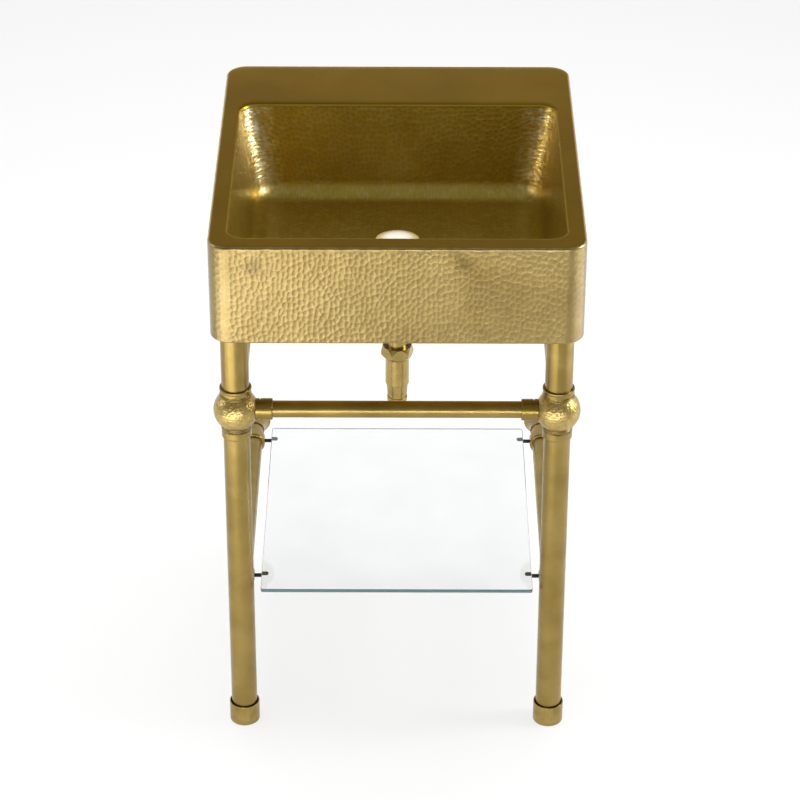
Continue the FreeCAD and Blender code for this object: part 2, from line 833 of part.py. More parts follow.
def make_ball_fitting(side):
    """A cast ball with beaded collars above and below for the tubes, and sockets for crossbar and rail."""
    ball = d.ball_diameter / 2
    web = d.ball_web / 2
    upper = d.upper_collar_diameter / 2
    lower = d.lower_collar_diameter / 2
    upper_bore = d.upper_tube_diameter / 2 + d.fit_gap
    lower_bore = d.lower_tube_diameter / 2 + d.fit_gap
    upper_root = chord_height(ball, upper)
    lower_root = -chord_height(ball, lower)
    bead = d.collar_bead * d.bead_round_share
    top, low = d.upper_collar_reach, -d.lower_collar_reach
    lip = d.collar_lip * d.lip_round_share
    body = turned(
        f"{side}_ball_fitting",
        [
            (0, -web),
            (lower_bore, -web),
            (lower_bore, low),
            (lower - d.collar_relief, low),
            (lower, low + d.collar_relief),
            (lower, lower_root - d.collar_bead * 2, bead, 1),
            (lower, lower_root - d.collar_bead, bead, 1),
            (lower, lower_root, ball, 1),
            (upper, upper_root, bead, 1),
            (upper, upper_root + d.collar_bead, bead, 1),
            (upper, upper_root + d.collar_bead * 2),
            (upper, top - d.collar_lip, lip, 1),
            (upper, top),
            (upper_bore + d.collar_relief, top),
            (upper_bore, top - d.collar_lip),
            (upper_bore, web),
            (0, web),
        ],
    )
    socket = d.bar_diameter + d.fit_gap * 2
    for name, role, lift, reverse in (
        ("crossbar", "YZ_Plane", d.bar_socket_floor, True),
        ("rail", "XZ_Plane", -d.bar_socket_floor, False),
    ):
        hole = new_sketch(body, f"{name}_socket", role, lift)
        add_circle(hole, 0, 0, socket)
        pocket(body, hole, reverse=reverse)
    turn = QUARTER_TURN if side == "right" else None
    place(body, x=leg_x * sign_of(side), y=leg_y, z=ball_z, turn=turn)


def make_leg_tubes(side):
    x = leg_x * sign_of(side)
    upper = d.upper_tube_diameter / 2
    upper_low = ball_z + d.ball_web / 2
    upper_high = apron_bottom - d.leg_flange_thickness
    tube = ring(f"{side}_upper_leg_tube", upper, upper - d.tube_wall, as_size(0), upper_high - upper_low)
    place(tube, x=x, y=leg_y, z=upper_low)
    lower = d.lower_tube_diameter / 2
    lower_high = ball_z - d.ball_web / 2
    tube = ring(f"{side}_lower_leg_tube", lower, lower - d.tube_wall, as_size(0), lower_high - tube_end)
    place(tube, x=x, y=leg_y, z=tube_end)


def make_foot(side):
    """The threaded insert in the leg's end, and the cup with its stud that screws in and out of it."""
    x = leg_x * sign_of(side)
    stud = d.stud_diameter / 2
    insert = ring(
        f"{side}_leveller_insert",
        d.lower_tube_diameter / 2 - d.tube_wall - d.fit_gap,
        stud + d.running_gap,
        as_size(0),
        d.insert_length,
    )
    place(insert, x=x, y=leg_y, z=tube_end)
    outer = d.ferrule_diameter / 2
    inner = outer - d.ferrule_wall
    edge, lip = d.ferrule_edge, d.ferrule_lip
    ferrule = turned(
        f"{side}_foot_ferrule",
        [
            (0, 0),
            (outer - edge, 0, edge, 1),
            (outer, edge),
            (outer, d.ferrule_height - lip, lip, 1),
            (outer - lip, d.ferrule_height),
            (inner + lip, d.ferrule_height, lip, 1),
            (inner, d.ferrule_height - lip),
            (inner, d.ferrule_floor),
            (0, d.ferrule_floor),
        ],
    )
    place(ferrule, x=x, y=leg_y)
    chamfer = d.ferrule_edge
    bolt = turned(
        f"{side}_leveller_stud",
        [
            (0, 0),
            (stud, 0),
            (stud, d.stud_length - chamfer),
            (stud - chamfer, d.stud_length),
            (0, d.stud_length),
        ],
    )
    place(bolt, x=x, y=leg_y, z=d.ferrule_floor)


# Rails, collars and wall flanges
def make_crossbar():
    radius = d.bar_diameter / 2
    half = leg_x - d.bar_socket_floor
    bar = ring("crossbar", radius, radius - d.bar_wall, -half, half)
    place(bar, y=leg_y, z=ball_z, turn=TURN_TO_X)


def make_bar_collar(label, side, turn):
    """A sleeve with a ring and a groove next to the ball, hollowed to sit on it."""
    seat = d.ball_diameter / 2 + d.fit_gap
    bore = d.bar_diameter / 2 + d.fit_gap
    outer = d.bar_collar_diameter / 2
    groove_end = d.bar_groove_start + d.bar_groove_width
    groove = outer - d.bar_groove_depth
    lip = d.bar_collar_lip
    body = turned(
        label,
        [
            (bore, chord_height(seat, bore), seat, -1),
            (outer, chord_height(seat, outer)),
            (outer, d.bar_groove_start),
            (groove, d.bar_groove_start),
            (groove, groove_end),
            (outer, groove_end),
            (outer, d.bar_collar_reach - lip, lip, 1),
            (outer - lip, d.bar_collar_reach),
            (bore, d.bar_collar_reach),
        ],
    )
    place(body, x=leg_x * sign_of(side), y=leg_y, z=ball_z, turn=turn)


def make_upper_rail(side):
    x = leg_x * sign_of(side)
    radius = d.bar_diameter / 2
    length = wall_y - leg_y - d.bar_socket_floor - d.flange_floor
    rail = ring(f"{side}_upper_rail", radius, radius - d.bar_wall, as_size(0), length)
    place(rail, x=x, y=leg_y + d.bar_socket_floor, z=ball_z, turn=TURN_TO_Y)


def make_shelf_rail(side):
    """A tube from leg to wall, its front end coped to the leg."""
    radius = d.shelf_rail_diameter / 2
    length = wall_y - leg_y - d.flange_floor
    body = ring(f"{side}_shelf_rail", radius, radius - d.shelf_rail_wall, as_size(0), length)
    cope = new_sketch(body, "cope", "XZ_Plane")
    add_circle(cope, 0, 0, d.lower_tube_diameter + d.fit_gap * 2)
    pocket(body, cope, both_ways=True)
    place(body, x=leg_x * sign_of(side), y=leg_y, z=d.shelf_rail_height, turn=TURN_TO_Y)


def make_wall_flange(label, side, rail_diameter, height):
    """A bell that widens from the rail to the wall, bored for the rail and for one wall bolt."""
    bore = rail_diameter / 2 + d.fit_gap
    neck = bore + d.flange_neck_wall
    outer = d.flange_diameter / 2
    bolt = d.wall_bolt_hole / 2
    body = turned(
        label,
        [
            (bolt, 0),
            (outer, 0),
            (outer, d.flange_edge, d.flange_bell_radius, -1),
            (neck, d.flange_length),
            (bore, d.flange_length),
            (bore, d.flange_floor),
            (bolt, d.flange_floor),
        ],
    )
    hole = new_sketch(body, "set_screw", "XZ_Plane", lift=bore)
    add_circle(hole, 0, d.set_screw_setback, d.set_screw_diameter + d.running_gap * 2)
    pocket(body, hole, reverse=True)
    place(body, x=leg_x * sign_of(side), y=wall_y, z=height, turn=TURN_TO_MINUS_Y)


def make_set_screws():
    """Grub screws that lock each rail from below its wall flange."""
    body = new_body("flange_set_screws")
    for name, height, rail in (
        ("upper", ball_z, d.bar_diameter),
        ("lower", d.shelf_rail_height, d.shelf_rail_diameter),
    ):
        sketch = new_sketch(body, name, lift=height - rail / 2 - d.seat_gap)
        for side in SIDES:
            add_circle(sketch, leg_x * sign_of(side), wall_y - d.set_screw_setback, d.set_screw_diameter)
        pad(body, sketch, d.set_screw_length, reverse=True)


def make_shelf_support(side, end, setback):
    """A collar on the shelf rail with a pin towards the glass, and the pin's soft sleeve."""
    outer = d.shelf_collar_diameter / 2
    bore = d.shelf_rail_diameter / 2 + d.fit_gap
    half = d.shelf_collar_length / 2
    edge = d.shelf_collar_edge
    x = leg_x * sign_of(side)
    y = setback - d.sink_depth / 2
    collar = turned(
        f"{end}_{side}_shelf_collar",
        [
            (bore, -half),
            (outer - edge, -half, edge, 1),
            (outer, -half + edge),
            (outer, half - edge, edge, 1),
            (outer - edge, half),
            (bore, half),
        ],
    )
    hole = new_sketch(collar, "pin_hole", "YZ_Plane")
    add_circle(hole, 0, 0, d.pin_diameter + d.fit_gap * 2)
    pocket(collar, hole, reverse=True)
    turn = TURN_TO_Y if side == "left" else TURN_TO_Y.multiply(HALF_TURN)
    place(collar, x=x, y=y, z=d.shelf_rail_height, turn=turn)
    inward = TURN_TO_X if side == "left" else TURN_TO_MINUS_X
    pin = d.pin_diameter / 2
    rail = d.shelf_rail_diameter / 2 + d.seat_gap
    core = turned(
        f"{end}_{side}_shelf_pin",
        [(0, rail), (pin, rail), (pin, d.pin_reach), (0, d.pin_reach)],
    )
    place(core, x=x, y=y, z=d.shelf_rail_height, turn=inward)
    tip = d.sleeve_diameter / 2
    start = outer + d.fit_gap
    sleeve = turned(
        f"{end}_{side}_pin_sleeve",
        [
            (pin + d.running_gap, start),
            (tip, start),
            (tip, d.sleeve_reach - tip, tip, 1),
            (0, d.sleeve_reach),
            (0, d.pin_reach + d.running_gap),
            (pin + d.running_gap, d.pin_reach + d.running_gap),
        ],
    )
    place(sleeve, x=x, y=y, z=d.shelf_rail_height, turn=inward)


def make_glass_shelf():
    body = new_body("glass_shelf")
    sheet = new_sketch(body, "sheet")
    front = d.glass_setback - d.sink_depth / 2
    half = leg_x - d.shelf_collar_diameter / 2 - d.glass_side_gap
    add_rounded_rectangle(sheet, -half, half, front, front + d.glass_depth, d.glass_corner_radius)
    pad(body, sheet, d.glass_thickness)

    def level_edge(edge):
        return lies_at(as_size(0))(edge) or lies_at(d.glass_thickness)(edge)

    fillet(body, level_edge, d.glass_arris, kind="Chamfer")
    place(body, z=d.shelf_rail_height + d.sleeve_diameter / 2 + d.glass_seat_gap)


doc = FreeCAD.newDocument("console_vanity")
d = make_sheet(doc)
nodes = []

# Places that several pieces share
apron_bottom = d.rim_height - d.apron_height
floor_top = d.rim_height - d.basin_depth
flange_top = floor_top + d.drain_flange_thickness
ball_z = apron_bottom - d.ball_drop
outlet_top = floor_top - d.outlet_drop
drain_y = (d.front_rim - d.back_deck) / 2 + d.drain_shift
drain_hole = d.barrel_diameter + d.drain_hole_clearance * 2
leg_x = d.sink_width / 2 - d.leg_side_inset
leg_y = d.leg_setback - d.sink_depth / 2
wall_y = d.sink_depth / 2
tube_end = d.ferrule_floor + d.foot_travel + d.foot_margin
screw_hole = d.screw_diameter + d.screw_hole_clearance * 2

make_sink_bowl()
make_sink_apron()
make_wall_cleat()
make_sink_screws()
make_sink_nuts()
make_drain()
make_tail()
make_crossbar()
make_set_screws()
make_glass_shelf()
for side_name in SIDES:
    make_leg_top_flange(side_name)
    make_leg_tubes(side_name)
    make_ball_fitting(side_name)
    make_foot(side_name)
    inward_turn = TURN_TO_X if side_name == "left" else TURN_TO_MINUS_X
    make_bar_collar(f"{side_name}_crossbar_collar", side_name, inward_turn)
    make_bar_collar(f"{side_name}_upper_rail_collar", side_name, TURN_TO_Y)
    make_upper_rail(side_name)
    make_shelf_rail(side_name)
    make_wall_flange(f"{side_name}_upper_wall_flange", side_name, d.bar_diameter, ball_z)
    make_wall_flange(
        f"{side_name}_lower_wall_flange", side_name, d.shelf_rail_diameter, d.shelf_rail_height
    )
    make_shelf_support(side_name, "front", d.front_pin_setback)
    make_shelf_support(side_name, "rear", d.rear_pin_setback)

doc.recompute()
for item in doc.Objects:
    if "Invalid" in item.State or "Error" in item.State:
        raise ValueError(f"{item.Label} failed to build")
for node in nodes:
    if node.Shape.isNull() or not node.Shape.isValid():
        raise ValueError(f"{node.Label} has no valid shape")
os.makedirs("parts", exist_ok=True)
for node in nodes:
    node.Shape.exportStep(f"parts/{node.Label}.step")
print(len(nodes), "sub-parts written")
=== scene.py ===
import json
import math

import bpy
import numpy as np
from mathutils import Matrix, Vector


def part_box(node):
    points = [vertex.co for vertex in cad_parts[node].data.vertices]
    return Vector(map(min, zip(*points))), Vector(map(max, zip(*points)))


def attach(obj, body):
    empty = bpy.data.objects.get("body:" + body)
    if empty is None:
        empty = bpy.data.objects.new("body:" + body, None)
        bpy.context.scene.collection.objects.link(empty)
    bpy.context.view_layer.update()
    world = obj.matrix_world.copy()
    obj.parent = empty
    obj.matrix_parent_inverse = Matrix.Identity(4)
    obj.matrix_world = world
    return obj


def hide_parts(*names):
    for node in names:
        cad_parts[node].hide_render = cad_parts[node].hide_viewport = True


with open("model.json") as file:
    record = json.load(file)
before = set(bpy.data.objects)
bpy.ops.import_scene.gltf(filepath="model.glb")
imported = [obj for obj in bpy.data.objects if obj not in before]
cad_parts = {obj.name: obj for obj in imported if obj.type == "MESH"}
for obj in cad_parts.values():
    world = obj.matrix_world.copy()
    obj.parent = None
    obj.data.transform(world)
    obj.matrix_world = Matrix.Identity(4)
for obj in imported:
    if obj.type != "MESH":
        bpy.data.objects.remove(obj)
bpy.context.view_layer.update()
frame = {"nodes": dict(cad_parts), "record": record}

# Console vanity in hammered brass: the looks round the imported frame, in metres
MM = 0.001
QUARTER_TURN = math.pi / 2

# Camera, at the photograph's angle
CAMERA_PLACE = Vector((0.0044, -3.9935, 2.8435))
CAMERA_PITCH = math.radians(30.846)
CAMERA_ROLL = math.radians(0.153)
CAMERA_LENS_MM = 134.92
CAMERA_SENSOR_MM = 36

# Sheet metal of the sink
GAUGE = 2 * MM
CORNER_RADIUS = 32 * MM
LEAST_SKIN_RADIUS = 1 * MM
RIM_LIP = 9 * MM
RIM_EDGE_RADIUS = 4 * MM
SIDE_RIM = 27 * MM
FRONT_RIM = 32 * MM
BACK_DECK = 140 * MM
OPENING_CORNER_RADIUS = 26 * MM
OPENING_EDGE_RADIUS = 3 * MM
BASIN_DEPTH = 146 * MM
WALL_BATTER = 22 * MM
FLOOR_CORNER_RADIUS = 46 * MM
LEAST_FLOOR_RADIUS = 4 * MM
FLOOR_FILLET = 30 * MM
FOLD_RADIUS = 1.5 * MM
RETURN_WIDTH = 62 * MM
DRAIN_HOLE_RADIUS = 22 * MM

# Places of the sink, from the frame
HALF_WIDTH, HALF_DEPTH, RIM_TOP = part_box("sink_bowl")[1]
APRON_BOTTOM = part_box("sink_apron")[0][2]
cap_low, cap_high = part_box("drain_cap")
OPENING_FRONT = -HALF_DEPTH + FRONT_RIM
OPENING_BACK = HALF_DEPTH - BACK_DECK
OPENING_HALF = HALF_WIDTH - SIDE_RIM
DRAIN_MIDDLE = np.array([0.0, (cap_low[1] + cap_high[1]) / 2])

# Fineness of the meshes: steps along a loop, and loops for each stretch of the sheet
BOWL_STEP = 1.9 * MM
APRON_STEP = 1.2 * MM
LIP_ROWS = 4
EDGE_ROWS = 7
DECK_ROWS = 14
OPENING_EDGE_ROWS = 4
WALL_ROWS = 118
FILLET_ROWS = 24
FLOOR_ROWS = 84
UNDERSIDE_ROWS = (4, 8, 2)
FOLD_ROWS = 4
BALL_ROWS = 80
BALL_COLUMNS = 200
BEAD_STEPS = 8
LOWER_NECK_ROWS = 6
UPPER_NECK_ROWS = 4
SHARP_ANGLE = math.radians(50)

# Form of a hammer mark, in widths of a mark, and the share that its crest has in it
SPACE_JITTER = (0.15, 0.85)
SHEET_JITTER = 0.33
RIDGE_WIDTH = 0.25
CREST_WIDTH = 0.6
CREST_SHARE = 0.48

# Squared distances, in widths of a mark: where a round dent ends, and further than any neighbour
DENT_REACH = 0.5
FAR_AWAY = 9.0

# Hammer marks of the outer skin, struck more lightly to the right and round the corners
APRON_MARK_SIZE = (7.3 * MM, 9.8 * MM)
APRON_MARK_DEPTH = 0.43 * MM
LIGHT_BLOWS = 0.85
LIGHT_BLOWS_FROM = -20 * MM
LIGHT_BLOWS_TO = 160 * MM
CORNER_EASE = 0.4
CORNER_EASE_START = 0.3
CORNER_EASE_SLOPE = 2
SKIN_SEED = 11

# Slow waves of the outer skin: an axis with its radians to a metre and start, and the same for the height
APRON_WAVE_DEPTH = 0.2 * MM
SKIN_WAVES = ((0, 31, 1.3, 27, 0.4), (1, 23, -0.7, 35, -1.1))

# Hammer marks of the basin, and the rows over which they begin and end
BASIN_MARK_SIZE = (8 * MM, 8.5 * MM)
BASIN_MARK_DEPTH = 0.32 * MM
FILLET_MARK_SIZE = (5.2 * MM, 16 * MM)
FLOOR_MARK_SIZE = 7 * MM
WALL_SEED = 23
FOLD_SEED = 29
FLOOR_SEED = 23
OPENING_EASE_ROWS = 3
DRAIN_EASE_ROWS = 4

# Ripples in the basin's two back corners, and the painted highlight that paints the corners pale
CORNER_MARK_SIZE = np.array((12, 12, 3.3)) * MM
CORNER_MARK_DEPTH = 0.5 * MM
CORNER_INSET = OPENING_CORNER_RADIUS / 3
CORNER_REACH = 42 * MM
CORNER_FADE = 0.7
CORNER_FLOOR_FADE = 4
CORNER_PAINTED_HIGHLIGHT = 5.0
CORNER_LEAST_PAINTED_HIGHLIGHT = 0.35
CORNER_SEED = 41

# Two stains on the front, by their distance from the middle and below the rim
STAINS = ((-201 * MM, 31 * MM), (92 * MM, 26 * MM))
STAIN_RADIUS = 20 * MM
STAIN_DEPTH = 0.75

# Bands of paint on the bowl. The rim's brass begins where the rolled edge has this tilt,
# and the basin's brass begins this many rows above the basin's wall.
APRON_BAND, RIM_BAND, BASIN_BAND = range(3)
RIM_BAND_TILT = math.radians(50)
BASIN_BAND_EARLY_ROWS = 2

# Ball fittings
BALL_RADIUS = 33.48 * MM
UPPER_COLLAR_RADIUS = 23.3 * MM
LOWER_COLLAR_RADIUS = 22.25 * MM
UPPER_BORE_RADIUS = 20.6 * MM
LOWER_BORE_RADIUS = 19.9 * MM
COLLAR_BEAD = 2.2 * MM
COLLAR_BEAD_ROUND = 1.32 * MM
COLLAR_LIP = 4 * MM
COLLAR_LIP_ROUND = 3.6 * MM
COLLAR_RELIEF = 1 * MM
BALL_LOW = -44.5 * MM
BALL_HIGH = 39 * MM
BALL_WEB = 30 * MM
CORE_HOLE_RADIUS = 4 * MM
BALL_MARK_SIZE = 3.8 * MM
BALL_MARK_DEPTH = 0.5 * MM
BALL_EASE_ROWS = 4
BALL_SEED = 31

# Brass of the tubes, and grains that run along one axis, in waves to a metre
BRASS_DARK = (0.255, 0.173, 0.038)
BRASS_LIGHT = (0.355, 0.25, 0.07)
TUBE_ROUGHNESS = (0.28, 0.40)
TUBE_PATINA = 18
UP_GRAIN = (900, 900, 40)
ACROSS_GRAIN = (40, 900, 900)
BACK_GRAIN = (900, 40, 900)
RIM_GRAIN = (12, 160, 12)
GRAIN_DEPTH = 0.1 * MM
LACQUER = 0.25
LACQUER_ROUGHNESS = 0.18

# The colour sockets of a Mix node, by number because its other kinds share their names
MIX_COLOUR_A = 6
MIX_COLOUR_B = 7
MIX_COLOUR_RESULT = 2

# Where most values of a noise lie, and its denser middle
NOISE_RANGE = (0.3, 0.7)
NOISE_MIDDLE = (0.35, 0.65)

# Patches of the painted light and wear, and ragged edges of stains, in waves to a metre
LIGHT_AND_WEAR_PATCHES = 70
STAIN_RAGGEDNESS = 110

# How level the drain cap lies where its painted highlight, a pale top, begins and is full
TOP_HIGHLIGHT_LEVEL = (0.93, 0.995)

# How far behind the shelf's front the painted shade of its front edge ends
GLASS_FRONT_FADE = (1 * MM, 2 * MM)

# Studio
FLOOR_COLOUR = (0.97, 0.97, 0.97, 1.0)
FLOOR_SIZE = 60
FLOOR_DROP = 0.3 * MM
FLOOR_GLOW = 0.75
CARD_ENDS = (-0.5, 0.5)
LAMP_SPREAD = math.radians(140)
ROOM_UP = (0, -0.35, 0.94)
ROOM_FADE = (-0.14, 0.12)
ROOM_TONES = (0.85, 0.32)


# Node helpers
def map_range(tree, value, source, result, smooth=False):
    """Carries a value from its source range over to a result range, and holds it there."""
    node = tree.nodes.new("ShaderNodeMapRange")
    if smooth:
        node.interpolation_type = "SMOOTHSTEP"
    node.inputs["From Min"].default_value, node.inputs["From Max"].default_value = source
    node.inputs["To Min"].default_value, node.inputs["To Max"].default_value = result
    tree.links.new(value, node.inputs["Value"])
    return node.outputs["Result"]


def compute(tree, operation, *values):
    """One step of arithmetic on sockets and numbers."""
    node = tree.nodes.new("ShaderNodeMath")
    node.operation = operation
    for socket, value in zip(node.inputs, values):
        if isinstance(value, bpy.types.NodeSocket):
            tree.links.new(value, socket)
        else:
            socket.default_value = value
    return node.outputs["Value"]


def split_axes(tree, vector):
    node = tree.nodes.new("ShaderNodeSeparateXYZ")
    tree.links.new(vector, node.inputs["Vector"])
    return node.outputs


def even(scale):
    return (scale, scale, scale)


class Paint:
    """One material's node tree, with short ways to add textures to it."""

    def __init__(self, name):
        self.material = bpy.data.materials.new(name)
        self.material.use_nodes = True
        self.tree = self.material.node_tree
        self.shader = self.tree.nodes["Principled BSDF"]
        self.place = self.tree.nodes.new("ShaderNodeTexCoord").outputs["Object"]

    def set(self, socket, value):
        self.shader.inputs[socket].default_value = value

    def noise(self, stretch, detail=4.0, distortion=0.0):
        mapping = self.tree.nodes.new("ShaderNodeMapping")
        mapping.inputs["Scale"].default_value = stretch
        self.tree.links.new(self.place, mapping.inputs["Vector"])
        noise = self.tree.nodes.new("ShaderNodeTexNoise")
        noise.inputs["Scale"].default_value = 1.0
        noise.inputs["Detail"].default_value = detail
        noise.inputs["Distortion"].default_value = distortion
        self.tree.links.new(mapping.outputs["Vector"], noise.inputs["Vector"])
        return noise.outputs["Fac"]

    def colour(self, factor, dark, light, stops=NOISE_RANGE):
        ramp = self.tree.nodes.new("ShaderNodeValToRGB")
        for element, position, colour in zip(ramp.color_ramp.elements, stops, (dark, light)):
            element.position = position
            element.color = (*colour, 1.0)
        self.tree.links.new(factor, ramp.inputs["Fac"])
        self.tree.links.new(ramp.outputs["Color"], self.shader.inputs["Base Color"])

    def mix_in(self, factor, colour):
        """Mixes a second colour over the base colour by a factor."""
        mix = self.tree.nodes.new("ShaderNodeMix")
        mix.data_type = "RGBA"
        base = self.shader.inputs["Base Color"]
        self.tree.links.new(factor, mix.inputs["Factor"])
        self.tree.links.new(base.links[0].from_socket, mix.inputs[MIX_COLOUR_A])
        mix.inputs[MIX_COLOUR_B].default_value = (*colour, 1.0)
        self.tree.links.new(mix.outputs[MIX_COLOUR_RESULT], base)

    def roughness(self, factor, low, high):
        spread = map_range(self.tree, factor, NOISE_RANGE, (low, high))
        self.tree.links.new(spread, self.shader.inputs["Roughness"])

    def bump(self, height, strength, depth):
        """Adds a relief over those that the material already has."""
        bump = self.tree.nodes.new("ShaderNodeBump")
        bump.inputs["Strength"].default_value = strength
        bump.inputs["Distance"].default_value = depth
        earlier = self.shader.inputs["Normal"].links
        if earlier:
            self.tree.links.new(earlier[0].from_socket, bump.inputs["Normal"])
        self.tree.links.new(height, bump.inputs["Height"])
        self.tree.links.new(bump.outputs["Normal"], self.shader.inputs["Normal"])

    def paint_light_and_wear(self, colour, share, least=0.0):
        """Mixes a colour in by a value that the mesh carries, in patches: rubbed wear, and also painted
        highlight on ridges and edges and painted shade in grooves and dents.
        """
        painted_light_and_wear = self.tree.nodes.new("ShaderNodeAttribute")
        painted_light_and_wear.attribute_name = "painted_light_and_wear"
        cloud = self.noise(even(LIGHT_AND_WEAR_PATCHES), detail=2.0)
        patches = map_range(self.tree, cloud, NOISE_MIDDLE, (least, share))
        self.mix_in(compute(self.tree, "MULTIPLY", painted_light_and_wear.outputs["Fac"], patches), colour)

    def stain(self, place, radius, colour):
        """One darker spot with a ragged edge, centred at a place on the piece."""
        away = self.tree.nodes.new("ShaderNodeVectorMath")
        away.operation = "DISTANCE"
        away.inputs[1].default_value = place
        self.tree.links.new(self.place, away.inputs[0])
        cloud = self.noise(even(STAIN_RAGGEDNESS))
        ragged = compute(self.tree, "MULTIPLY_ADD", cloud, radius, away.outputs["Value"])
        reach = (radius / 2, 1.5 * radius)
        self.mix_in(map_range(self.tree, ragged, reach, (STAIN_DEPTH, 0.0), smooth=True), colour)

    def level(self):
        """How level the surface lies, from 0 on upright faces to 1."""
        facing = self.tree.nodes.new("ShaderNodeNewGeometry").outputs["Normal"]
        return compute(self.tree, "ABSOLUTE", split_axes(self.tree, facing)["Z"])

    def painted_top_highlight(self, colour):
        """A dome painted pale round its level top: a painted highlight."""
        self.mix_in(map_range(self.tree, self.level(), TOP_HIGHLIGHT_LEVEL, (0.0, 1.0), smooth=True), colour)

    def ground_edge(self, colour, front, front_painted_shade, clearness):
        """A level plate with ground upright edges, which take a pale colour and let less light through; the
        front edge alone is painted darker, a painted shade.
        """
        level = self.level()
        edge = map_range(self.tree, level, (0.0, 1.0), (1.0, 0.0))
        self.mix_in(edge, colour)
        depth = split_axes(self.tree, self.place)["Y"]
        fade = [front + distance for distance in GLASS_FRONT_FADE]
        at_front = map_range(self.tree, depth, fade, (1.0, 0.0))
        # Painted shade on the front edge only.
        self.mix_in(compute(self.tree, "MULTIPLY", edge, at_front), front_painted_shade)
        clear = map_range(self.tree, level, (0.0, 1.0), (clearness, 1.0))
        self.tree.links.new(clear, self.shader.inputs["Transmission Weight"])


# Materials
def metal(name, dark, light, rough, patina, lacquer=LACQUER, grain=None, grain_strength=0.1):
    """Satin metal with a cloudy patina and, where asked, a fine grain along one direction."""
    paint = Paint(name)
    paint.set("Metallic", 1.0)
    paint.set("Coat Weight", lacquer)
    paint.set("Coat Roughness", LACQUER_ROUGHNESS)
    paint.colour(paint.noise(even(patina), detail=5.0, distortion=0.4), dark, light)
    paint.roughness(paint.noise(even(3 * patina)), *rough)
    if grain is not None:
        paint.bump(paint.noise(grain, detail=3.0), grain_strength, GRAIN_DEPTH)
    return paint


def apron_brass():
    dark, light = (0.23, 0.155, 0.04), (0.33, 0.24, 0.08)
    paint = metal("apron_brass", dark, light, (0.31, 0.40), patina=9, lacquer=0.6)
    paint.bump(paint.noise((420, 420, 260), detail=3.0), strength=0.12, depth=0.2 * MM)
    # Pale ridges between the hammer marks: partly rubbed wear, partly a painted highlight, weaker to the
    # right and round the corners.
    paint.paint_light_and_wear((0.56, 0.44, 0.21), share=0.30)
    for across, below in STAINS:
        place = (across, -HALF_DEPTH, RIM_TOP - below)
        paint.stain(place, STAIN_RADIUS, (0.14, 0.095, 0.025))
    return paint.material


def rim_brass():
    dark, light = (0.26, 0.145, 0.004), (0.325, 0.184, 0.008)
    paint = metal("rim_brass", dark, light, (0.26, 0.34), 8, lacquer=0, grain=RIM_GRAIN, grain_strength=0.05)
    paint.set("Specular Tint", (1.0, 0.9, 0.7, 1.0))
    paint.bump(paint.noise(even(90), detail=1.0), strength=0.05, depth=0.4 * MM)
    # A pale rolled edge and pale lip ridges: partly rubbed wear, partly a painted highlight.
    paint.paint_light_and_wear((0.66, 0.51, 0.22), share=0.9, least=0.5)
    return paint.material


def basin_brass():
    paint = metal("basin_brass", (0.455, 0.32, 0.025), (0.54, 0.388, 0.045), (0.34, 0.44), patina=10)
    paint.set("Coat Roughness", 0.1)
    paint.set("Coat Tint", (1.0, 0.95, 0.8, 1.0))
    paint.bump(paint.noise(even(500), detail=3.0), strength=0.08, depth=0.2 * MM)
    # Painted shade in the middles of the dents, and a pale painted highlight on the back corners' ripples.
    paint.paint_light_and_wear((1.0, 0.90, 0.62), share=0.26, least=0.08)
    return paint.material


def ball_brass():
    paint = metal("ball_brass", (0.38, 0.265, 0.07), (0.54, 0.395, 0.135), (0.33, 0.43), patina=160)
    paint.bump(paint.noise(even(420)), strength=0.5, depth=0.3 * MM)
    paint.paint_light_and_wear((0.70, 0.56, 0.28), share=0.35)
    return paint.material


def cap_brass():
    paint = metal("cap_brass", (0.62, 0.46, 0.20), (0.74, 0.57, 0.28), (0.12, 0.20), patina=9, lacquer=1.0)
    paint.set("Metallic", 0.2)
    # A painted highlight: the cap's level top is painted near white.
    paint.painted_top_highlight((0.99, 0.96, 0.88))
    return paint.material


def tube_brass(name, grain, grain_strength=0.03, lacquer=LACQUER):
    return metal(name, BRASS_DARK, BRASS_LIGHT, TUBE_ROUGHNESS, TUBE_PATINA, lacquer, grain, grain_strength)


def collar_brass():
    paint = tube_brass("collar_brass", UP_GRAIN, grain_strength=0.07)
    # The collar grooves are painted dark: painted shade.
    paint.paint_light_and_wear((0.08, 0.052, 0.012), share=1.2)
    return paint.material


def foot_brass():
    light = (0.42, 0.30, 0.09)
    return metal("foot_brass", BRASS_DARK, light, (0.32, 0.44), patina=40, grain=even(500)).material


def drain_brass():
    dark, light = (0.34, 0.235, 0.065), (0.45, 0.325, 0.105)
    return metal("drain_brass", dark, light, (0.23, 0.30), 30, grain=UP_GRAIN, grain_strength=0.02).material


def zinc_steel():
    return metal("zinc_steel", even(0.50), (0.68, 0.68, 0.67), (0.38, 0.50), patina=120).material


def painted_steel():
    paint = metal("painted_steel", (0.035, 0.033, 0.03), (0.06, 0.056, 0.05), (0.45, 0.6), patina=90)
    paint.set("Metallic", 0.0)
    paint.bump(paint.noise(even(700)), strength=0.15, depth=0.1 * MM)
    return paint.material


def soft_plastic(name, dark, light):
    paint = Paint(name)
    speckle = paint.noise(even(300), detail=3.0)
    paint.colour(speckle, dark, light, stops=NOISE_MIDDLE)
    paint.roughness(speckle, 0.55, 0.75)
    paint.bump(speckle, strength=0.15, depth=0.1 * MM)
    return paint.material


